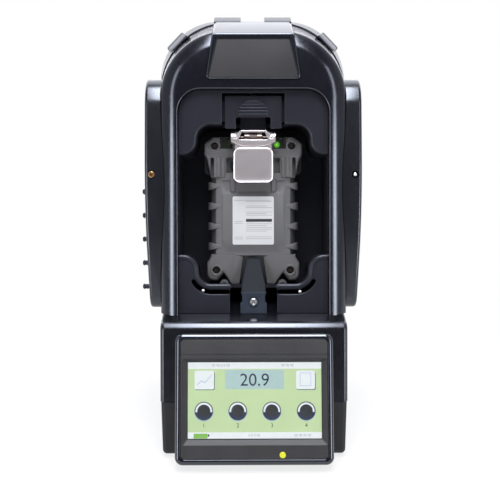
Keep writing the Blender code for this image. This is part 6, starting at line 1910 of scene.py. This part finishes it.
@dataclass
class Detector(Assembly):
    """The docked instrument's back: rear shell with bosses, ribs and groove, screws, label and lights."""

    BODY: ClassVar[Body] = Body.DETECTOR

    face: float = 0.024
    split: float = 0.041
    edge: float = 0.002
    low: float = 0.1222
    top: float = 0.2349
    waist: float = 0.0325
    # Corners of the outline below the ribs, and above them with their drop from the top instead of a height
    lower_corners: tuple[Point, ...] = (
        (0.017, 0.1222, 0.0), (0.0228, 0.1305, 0.0), (0.0275, 0.1246, 0.0), (0.0354, 0.1246, 0.005),
        (0.0354, 0.1385, 0.0), (0.0325, 0.143, 0.0))
    upper_corners: tuple[Point, ...] = (
        (0.0355, 0.0166, 0.0), (0.0376, 0.0136, 0.001), (0.0376, 0.0049, 0.00245), (0.031, 0.0, 0.00245))
    rib_across: float = 0.0342
    rib_foot: float = 0.0033
    rib_half: float = 0.0016
    rib_corner: float = 0.0006
    # Place across, front, back and half height of each section of a rib
    rib_sections: tuple[tuple[float, float, float, float], ...] = (
        (0.0236, 0.0251, 0.0275, 0.0007), (0.0288, 0.0253, 0.033, 0.0019), (0.0322, 0.0272, 0.0345, 0.0028),
        (0.0345, 0.0308, 0.0345, 0.0031))
    cavity_corners: tuple[Point, ...] = (
        (0.0295, 0.1465, 0.001), (0.0295, 0.2045, 0.0), (0.0335, 0.213, 0.0), (0.0335, 0.2225, 0.001))
    # Depth of each level of the raised panel and how far its outline is grown there
    panel_levels: Profile = ((0.022, 0.0), (0.0239, 0.0), (0.0251, 0.0022), (0.026, 0.0022))
    # Corners of the cut that slopes a flank, as (across, depth)
    flank_corners: Profile = (
        (0.024, 0.022), (0.042, 0.022), (0.042, 0.0385), (0.0332, 0.0372), (0.0304, 0.03), (0.0284, 0.0263),
        (0.024, 0.0249))
    # Middle, half width, bottom, top, corner radius and back of each slot beside the clip
    top_slots: tuple[tuple[float, ...], ...] = (
        (0.0313, 0.0013, 0.203, 0.219, 0.0012, 0.03), (0.0177, 0.0027, 0.207, 0.2187, 0.0008, 0.0285),
        (0.0205, 0.0049, 0.2258, 0.2342, 0.0006, 0.029))
    slot_edge: float = 0.0004
    # Middle, half width, bottom and top of each upright rib
    top_ribs: tuple[tuple[float, float, float, float], ...] = (
        (0.0264, 0.0015, 0.2036, 0.2195), (0.0228, 0.0015, 0.2036, 0.2195), (0.0157, 0.0019, 0.1925, 0.2032))
    groove_low: float = 0.1207
    # Growth and depths at the bottom and the top of each level of the groove
    groove_levels: tuple[Point, ...] = (
        (0.0066, -0.0015, -0.0015), (0.0066, 0.0001, 0.0001), (0.0, 0.0026, 0.0024), (0.0, 0.01, 0.004))
    screws: tuple[tuple[str, float, float], ...] = (
        ("top_left", -0.0295, 0.2279), ("top_right", 0.0295, 0.2279),
        ("bottom_left", -0.0284, 0.1325), ("bottom_right", 0.0284, 0.1325),
    )
    boss_profile: Profile = ((0.0262, 0.005), (0.0242, 0.0048), (0.0236, 0.0043), (0.0236, 0.0))
    sink_profile: Profile = ((0.0, 0.0034), (0.0238, 0.0033), (0.0245, 0.0027), (0.0293, 0.0027))
    bore_profile: Profile = ((0.029, 0.0014), (0.042, 0.0014))
    screw_profile: Profile = (
        (0.027, 0.0), (0.027, 0.0017), (0.0274, 0.0022), (0.0281, 0.0024), (0.029, 0.0024), (0.029, 0.0011),
        (0.0428, 0.0011), (0.043, 0.0009), (0.043, 0.0))
    cross_long: float = 0.0015
    cross_thin: float = 0.0004
    cross_depths: tuple[float, float] = (0.026, 0.0282)
    light_edge: float = 0.0006
    # Left, right, height and half thickness of the bar and the headline
    bar: tuple[float, float, float, float] = (-0.0056, 0.0144, 0.1708, 0.0011)
    rule_heights: tuple[float, ...] = (
        0.1853, 0.1818, 0.1806, 0.1772, 0.176, 0.1748, 0.1682, 0.1668, 0.1654, 0.164, 0.1626, 0.1582, 0.1568)

    def rib_middles(self) -> list[float]:
        """Return the height of every finger rib."""
        return [0.15075 + 0.0155 * index for index in range(4)]

    def outline(self, depth: float, grow: float = 0.0) -> Outline:
        """Draw the outline at a depth; the top falls towards the instrument's own front.

        Args:
            depth: The depth.
            grow: How far the outline is moved outwards.

        Returns:
            The outline.
        """
        top = self.top - (depth - self.face) * math.tan(math.radians(8.0))
        half = list(self.lower_corners)
        for middle in self.rib_middles():
            half += [
                (self.waist, middle - self.rib_foot, 0.0), (self.rib_across, middle - self.rib_half, 0.0),
                (self.rib_across, middle + self.rib_half, 0.0), (self.waist, middle + self.rib_foot, 0.0)]
        half.append((self.waist, 0.2045, 0.0))
        half += [(across, top - drop, radius) for across, drop, radius in self.upper_corners]
        return grown(mirrored(half, 6), grow)

    def build(self) -> None:
        """Make every visible piece of the detector's back."""
        self.make_shell()
        self.make_screws()
        self.make_lights()
        self.make_label()

    def strip(self, name: str, left: float, right: float, up: float, half: float) -> Workpiece:
        """Return one printed strip of the label."""
        outline = rectangle((right - left) / 2, up - half, up + half, 0.0, (left + right) / 2)
        return Workpiece.plate(name, outline, 0.02342, 0.0235)

    def make_label(self) -> None:
        """Make the label with plain rules and one plain bar on it."""
        paper = rectangle(0.0158, 0.1522, 0.1892, 0.0012)
        label = Workpiece.plate("blank_label", paper, 0.02345, 0.0237, 0.00008)
        self.fit(label, "label_white", "rear_label")
        self.fit(self.strip("label_bar", *self.bar), "print_black", slot="label_white")
        rules = self.strip("label_rules", -0.0148, 0.0136, 0.1862, 0.0002)
        spans = [(-0.0056, 0.0144 - 0.004 * (index % 3 == 1), up)
                 for index, up in enumerate(self.rule_heights)]
        spans += [(-0.0146, -0.008, up) for up in (0.17, 0.1686, 0.158, 0.1566)]
        rules.add(*(self.strip("rule", *span, 0.00018) for span in spans))
        self.fit(rules, "print_grey", slot="label_white")

    def make_shell(self) -> None:
        """Make the rear shell."""
        shell = Workpiece.loft("rear_half", soft_front(self.outline, self.face, self.split, self.edge))
        cavity = mirrored(self.cavity_corners, 4)
        shell.cut(Workpiece.plate("cavity", cavity, self.face + 0.0065, self.split + SPARE))
        self.shape_back(shell)
        self.shape_top(shell)
        self.cut_groove(shell)
        for _, across, up in self.screws:
            axis = Axis.DEPTH, (across, 0.0, up)
            shell.fuse(Workpiece.turned("boss", self.boss_profile, *axis, 44))
            shell.cut(
                Workpiece.turned("sink", self.sink_profile, *axis),
                Workpiece.turned("bore", self.bore_profile, *axis))
        # Its finish paints shade on the flanks, slots and groove, darkening them with depth.
        self.fit(shell, "detector_back", "detector_rear_shell", slot="detector_grey")

    def shape_back(self, shell: Workpiece) -> None:
        """Lower the back round its raised panel, slope the flanks and set the finger ribs on them.

        Args:
            shell: The rear shell.
        """
        panel = mirrored(((0.018, 0.15, 0.001), (0.0229, 0.155, 0.001), (0.0229, 0.1909, 0.001)), 4)
        lowered = Workpiece.plate(
            "lowered", rectangle(0.04, 0.144, 0.2015), 0.023, 0.025)
        lowered.cut(Workpiece.loft("panel", [
            at_depth(grown(panel, grow), depth) for depth, grow in self.panel_levels]))
        flank = [Vector(corner) for corner in self.flank_corners]
        slope = Workpiece.loft("flank", [at_height(flank, up) for up in (0.1447, 0.2038)])
        shell.cut(lowered, *slope.pair())
        for middle in self.rib_middles():
            rings = []
            for across, front, back, half in self.rib_sections:
                low, high = middle - half, middle + half
                rings.append(at_side(rounded([
                    (front, low, self.rib_corner), (back, low, 0.0), (back, high, 0.0),
                    (front, high, self.rib_corner)], 4), across))
            shell.fuse(*Workpiece.loft("rib", rings).pair())

    def shape_top(self, shell: Workpiece) -> None:
        """Cut the slots and windows beside the clip and set the upright ribs between them.

        Args:
            shell: The rear shell.
        """
        for middle, half, low, high, radius, back in self.top_slots:
            outline = rectangle(half, low, high, radius, middle)
            shell.cut(*Workpiece.hole(outline, self.face, back, self.slot_edge).pair())
        for middle, half, low, high in self.top_ribs:
            outline = rectangle(half, low, high, 0.0011, middle)
            rib = Workpiece.plate("upright_rib", outline, 0.0232, 0.0262, 0.0009)
            shell.fuse(*rib.pair())

    def cut_groove(self, shell: Workpiece) -> None:
        """Cut the groove for the nose, with sloped cheeks.

        Args:
            shell: The rear shell.
        """
        rings = []
        for grow, low_depth, top_depth in self.groove_levels:
            low_half, top_half = 0.011 + 1.4 * grow, 0.0078 + grow
            low, top = self.groove_low, 0.143 + grow * 0.25
            rings.append([
                Vector((-low_half, self.face + low_depth, low)),
                Vector((low_half, self.face + low_depth, low)),
                Vector((top_half, self.face + top_depth, top)),
                Vector((-top_half, self.face + top_depth, top))])
        shell.cut(Workpiece.loft("groove", rings))

    def make_screws(self) -> None:
        """Make one screw with a cross in its head and copy it to all four places."""
        first, across, up = self.screws[0]
        screw = Workpiece.turned(f"case_screw_{first}", self.screw_profile, Axis.DEPTH, (across, 0.0, up), 24)
        for half, tall in ((self.cross_long, self.cross_thin), (self.cross_thin, self.cross_long)):
            bar = rectangle(half, up - tall, up + tall, 0.0, across)
            screw.cut(Workpiece.plate("cross", bar, *self.cross_depths))
        pieces = {first: screw}
        for name, other_across, other_up in self.screws[1:]:
            pieces[name] = screw.copy(f"case_screw_{name}", (other_across - across, 0.0, other_up - up))
        for name, piece in pieces.items():
            self.fit(piece, "dark_steel", f"shell_screw_{name}", slot="steel")

    def make_lights(self) -> None:
        """Make the two light lenses; the one on the right is lit."""
        outline = rectangle(0.0046, 0.2261, 0.2339, self.light_edge, 0.0205)
        lens = Workpiece.plate("light_lens_right", outline, 0.0248, 0.0288, self.light_edge)
        twin = lens.copy("light_lens_left", mirror=True)
        self.fit(lens, "light_green", "light_pipe_right")
        self.fit(twin, "light_dark", "light_pipe_left", slot="light_green")


@dataclass
class Clip(Assembly):
    """The belt clip: bracket with its knuckle on the detector, pin and the bright sprung lever."""

    BODY: ClassVar[Body] = Body.DETECTOR

    depth: float = 0.0162
    up: float = 0.2334
    radius: float = 0.0052
    half: float = 0.017
    bracket_low: Point = (-0.012, 0.0217, 0.214)
    knuckle_profile: Profile = ((-0.007, 0.0039), (-0.0065, 0.0044), (0.0065, 0.0044), (0.007, 0.0039))
    root_half: float = 0.0069
    coil_half: float = 0.003
    coil_reach: float = 0.006
    bore: float = 0.0017
    bore_reach: float = 0.04
    pin_profile: Profile = (
        (-0.0162, 0.0), (-0.0162, 0.001), (-0.0158, 0.0014), (0.0158, 0.0014), (0.0162, 0.001), (0.0162, 0.0))
    plate_corner: float = 0.0046
    # Inset and depth of each ring from the dished middle over the rolled border to the back
    plate_rings: Profile = (
        (0.004, 0.0002), (0.001, 0.0003), (0.0007, 0.0002), (0.0005, 0.00012), (0.0003, 0.0002),
        (0.0001, 0.0005), (0.0, 0.0008), (0.0, 0.0013), (0.0002, 0.0015))
    yoke_turn: int = 84
    yoke_sides: Profile = ((0.0161, 0.233), (0.015, 0.2348), (0.0112, 0.2372), (0.0098, 0.2386))
    # Half width, height and corner radius of the yoke's opening
    barrel_inset: float = 0.0005
    window_half: float = 0.0112
    window_reach: float = 0.0064
    knob_place: tuple[float, float] = (0.0136, 0.2333)
    knob_profile: Profile = (
        (-0.0014, 0.0), (-0.0013, 0.0008), (-0.0009, 0.0015), (-0.0002, 0.0019), (0.001, 0.002), (0.001, 0.0))

    def axis(self) -> tuple[Axis, Point]:
        """Return the axis of the pin."""
        return Axis.ACROSS, (0.0, self.depth, self.up)

    def pin_bore(self) -> Workpiece:
        """Return the tool that bores a piece for the pin."""
        profile = [(-self.bore_reach, self.bore), (self.bore_reach, self.bore)]
        return Workpiece.turned("pin_bore", profile, *self.axis())

    def build(self) -> None:
        """Make every piece of the clip."""
        bracket = Workpiece.block("clip_mount", self.bracket_low, (0.012, 0.0237, 0.234), 0.0005)
        root = Workpiece.block(
            "root", (-self.root_half, self.depth, self.up - 0.0022),
            (self.root_half, 0.0227, 0.233), 0.0002)
        coil = Workpiece.block(
            "coil_slot", (-self.coil_half, 0.0, self.up - self.coil_reach),
            (self.coil_half, self.bracket_low[1], self.up + self.coil_reach))
        bracket.fuse(Workpiece.turned("knuckle", self.knuckle_profile, *self.axis()), root)
        bracket.cut(coil, self.pin_bore())
        self.fit(bracket, "dark_steel", "clip_bracket", slot="steel")
        pin = Workpiece.turned("hinge_pin", self.pin_profile, *self.axis(), 20)
        self.fit(pin, "dark_steel", "clip_pin", slot="steel")
        self.make_lever()

    def make_yoke(self, front: float) -> Workpiece:
        """Make the yoke between the lever's plate and its barrel, open in the middle.

        Args:
            front: Depth of the lever's front.

        Returns:
            The yoke.
        """
        face, steps = front - 0.0006, 12
        turns = [
            math.radians(2 * self.yoke_turn * step / steps - self.yoke_turn) for step in range(steps + 1)]
        arc = [(self.half * math.sin(turn), 0.2318 - 0.0055 * math.cos(turn)) for turn in turns]
        corners = [*arc, *self.yoke_sides, *((-across, up) for across, up in reversed(self.yoke_sides))]
        outline = [Vector(corner) for corner in corners]
        yoke = Workpiece.plate("yoke", outline, face, front + 0.0007, 0.0004)
        opening = evened((0.0112, 0.2316, 0.0006), (0.0088, 0.2372, 0.0006), 4)
        return yoke.cut(Workpiece.hole(opening, face, front + SPARE, 0.0003))

    def make_lever(self) -> None:
        """Make the lever: a dished plate with a rolled border on a barrel that is open over the knuckle."""
        front = self.depth - self.radius
        outline = rectangle(0.015, 0.1994, 0.2256, self.plate_corner)
        lever = Workpiece.loft("lever_plate", [
            at_depth(grown(outline, -inset), front + depth) for inset, depth in self.plate_rings])
        neck = Workpiece.plate(
            "neck", rectangle(0.0138, 0.2215, 0.23),
            *(front + depth for depth in (0.0004, 0.0014)))
        wide, side, edge = self.radius - self.barrel_inset, self.half - self.barrel_inset, 0.0004
        ends = [(self.half, wide - 0.0012), (self.half, wide - edge), (side, wide)]
        barrel = Workpiece.turned(
            "barrel", [*((-along, size) for along, size in ends), *reversed(ends)], *self.axis(), 64)
        barrel.cut(Workpiece.block(
            "knuckle_window", (-self.window_half, front - SPARE, self.up - self.window_reach),
            (self.window_half, 0.0224, self.up + self.window_reach)))
        knob = Workpiece.turned(
            "knob", self.knob_profile, Axis.DEPTH, (self.knob_place[0], front, self.knob_place[1]), 24)
        lever.fuse(neck, barrel, self.make_yoke(front), *knob.pair())
        lever.cut(self.pin_bore())
        self.fit(lever, "chrome", "clip_lever", smooth=22.0, body=Body.CLIP)


# Studio


@dataclass
class Studio:
    """Camera, floor, lamps and the light that comes from all round."""

    camera_place: Point = (-0.0083, -0.7877, 0.3593)
    lens: float = 77.47
    floor_colour: Colour = (0.86, 0.86, 0.87)
    floor_glow: float = 0.78

    def build(self) -> None:
        """Set up the whole studio."""
        bpy.context.scene.view_settings.view_transform = "Standard"
        self.make_camera()
        self.make_floor()
        self.make_world()
        for side, name in ((-1, "left"), (1, "right")):
            self.make_lamp(f"strip_{name}", (side * 0.66, -0.78, 0.47), (0.2, 0.9), 2.0)
            self.make_lamp(f"card_{name}", (side * 0.655, -0.775, 0.29), (0.28, 0.46), 2.0, True)
        self.make_lamp("top_box", (0.0, -0.24, 1.15), (0.5, 1.0), 16.0)
        self.make_lamp("top_card", (0.0, -0.24, 1.14), (0.42, 0.9), 9.5, True)
        self.make_lamp("back_panel", (0.0, 1.15, 0.8), (2.6, 1.5), 18.0)

    def make_camera(self) -> None:
        """Add the camera at the photograph's angle."""
        bpy.ops.object.camera_add(location=self.camera_place)
        camera = bpy.context.active_object
        away = Vector(self.camera_place) - Vector((-0.0027, -0.017, 0.1448))
        camera.rotation_euler = away.to_track_quat("Z", "Y").to_euler()
        camera.data.lens = self.lens
        camera.data.sensor_width = 36.0
        bpy.context.scene.camera = camera

    def make_lamp(
        self, name: str, place: Point, size: tuple[float, float], power: float, mirror_only: bool = False
    ) -> None:
        """Add a soft lamp that looks at the middle of the object.

        Args:
            name: Name of the lamp.
            place: Where it stands.
            size: Its width and height.
            power: Its power in watts.
            mirror_only: True for a card that is only seen mirrored in polished faces.
        """
        bpy.ops.object.light_add(type="AREA", location=place)
        lamp = bpy.context.active_object
        lamp.name = name
        away = Vector(place) - Vector((0.0, 0.0, 0.16))
        lamp.rotation_euler = away.to_track_quat("Z", "Y").to_euler()
        lamp.data.shape = "RECTANGLE"
        lamp.data.size, lamp.data.size_y = size
        lamp.data.energy = power
        lamp.data.color = (0.92, 0.94, 1.0)
        lamp.visible_camera = False
        lamp.visible_diffuse = not mirror_only

    def make_floor(self) -> None:
        """Add the pale floor, which keeps the object's shadow."""
        bpy.ops.object.select_all(action="DESELECT")
        bpy.ops.mesh.primitive_grid_add(x_subdivisions=2, y_subdivisions=2, size=12.0)
        floor = bpy.context.active_object
        floor.name = "floor"
        board, made = Board.material("studio_floor")
        speckle = board.noise(0.05, 3.0)
        board.surface({
            "Base Color": board.mix(scaled(self.floor_colour, 0.98), self.floor_colour, speckle),
            "Roughness": 0.9,
            "Specular IOR Level": 0.1,
        })
        glow = board.node("ShaderNodeEmission", {}, {"Strength": 1.0})
        far, aside, _ = board.axes()
        away = (far * far + aside * aside) ** 0.5
        bright = self.floor_glow + away.ramp(0.1, 0.42) * (1.0 - self.floor_glow)
        share = board.rays("Is Camera Ray", "Is Glossy Ray") * bright
        shader = Signal(board, board.tree.nodes["Principled BSDF"].outputs[0])
        mixed = board.node("ShaderNodeMixShader", {}, {0: share, 1: shader, 2: glow})
        board.feed(board.tree.nodes["Material Output"], {"Surface": mixed})
        floor.data.materials.append(made)

    def make_world(self) -> None:
        """Light from all round: white behind and above the object, dim where the camera stands."""
        world = bpy.data.worlds.new("studio")
        world.use_nodes = True
        bpy.context.scene.world = world
        board = Board(world.node_tree)
        toward = board.node("ShaderNodeTexCoord", out="Generated")
        aside, depth, _ = board.parts(toward)
        sides = aside.size().ramp(0.45, 0.95) * 0.28
        level = 0.08 + sides + depth.ramp(-0.2, 0.6) * 0.75
        seen = board.rays("Is Camera Ray", "Is Transmission Ray")
        strength = board.node("ShaderNodeMix", {"data_type": "FLOAT"}, {0: seen, 2: level, 3: 1.0})
        tint = board.mix((0.96, 0.965, 1.0), (1.0, 1.0, 1.0), seen)
        board.feed(board.tree.nodes["Background"], {"Color": tint, "Strength": strength})


def main() -> None:
    """Load the frame, build and dress every sub-assembly and set up the studio."""
    logging.basicConfig(level=logging.INFO, format="%(message)s")
    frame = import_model()
    finishes = Finishes()
    finishes.dress_nodes(frame["nodes"])
    Studio().build()
    Base(finishes).build()
    upright = Upright(finishes)
    upright.build()
    Cradle(finishes, upright).build()
    for assembly in (Latch, Screen, Detector, Clip):
        assembly(finishes).build()


if __name__ == "__main__":
    main()
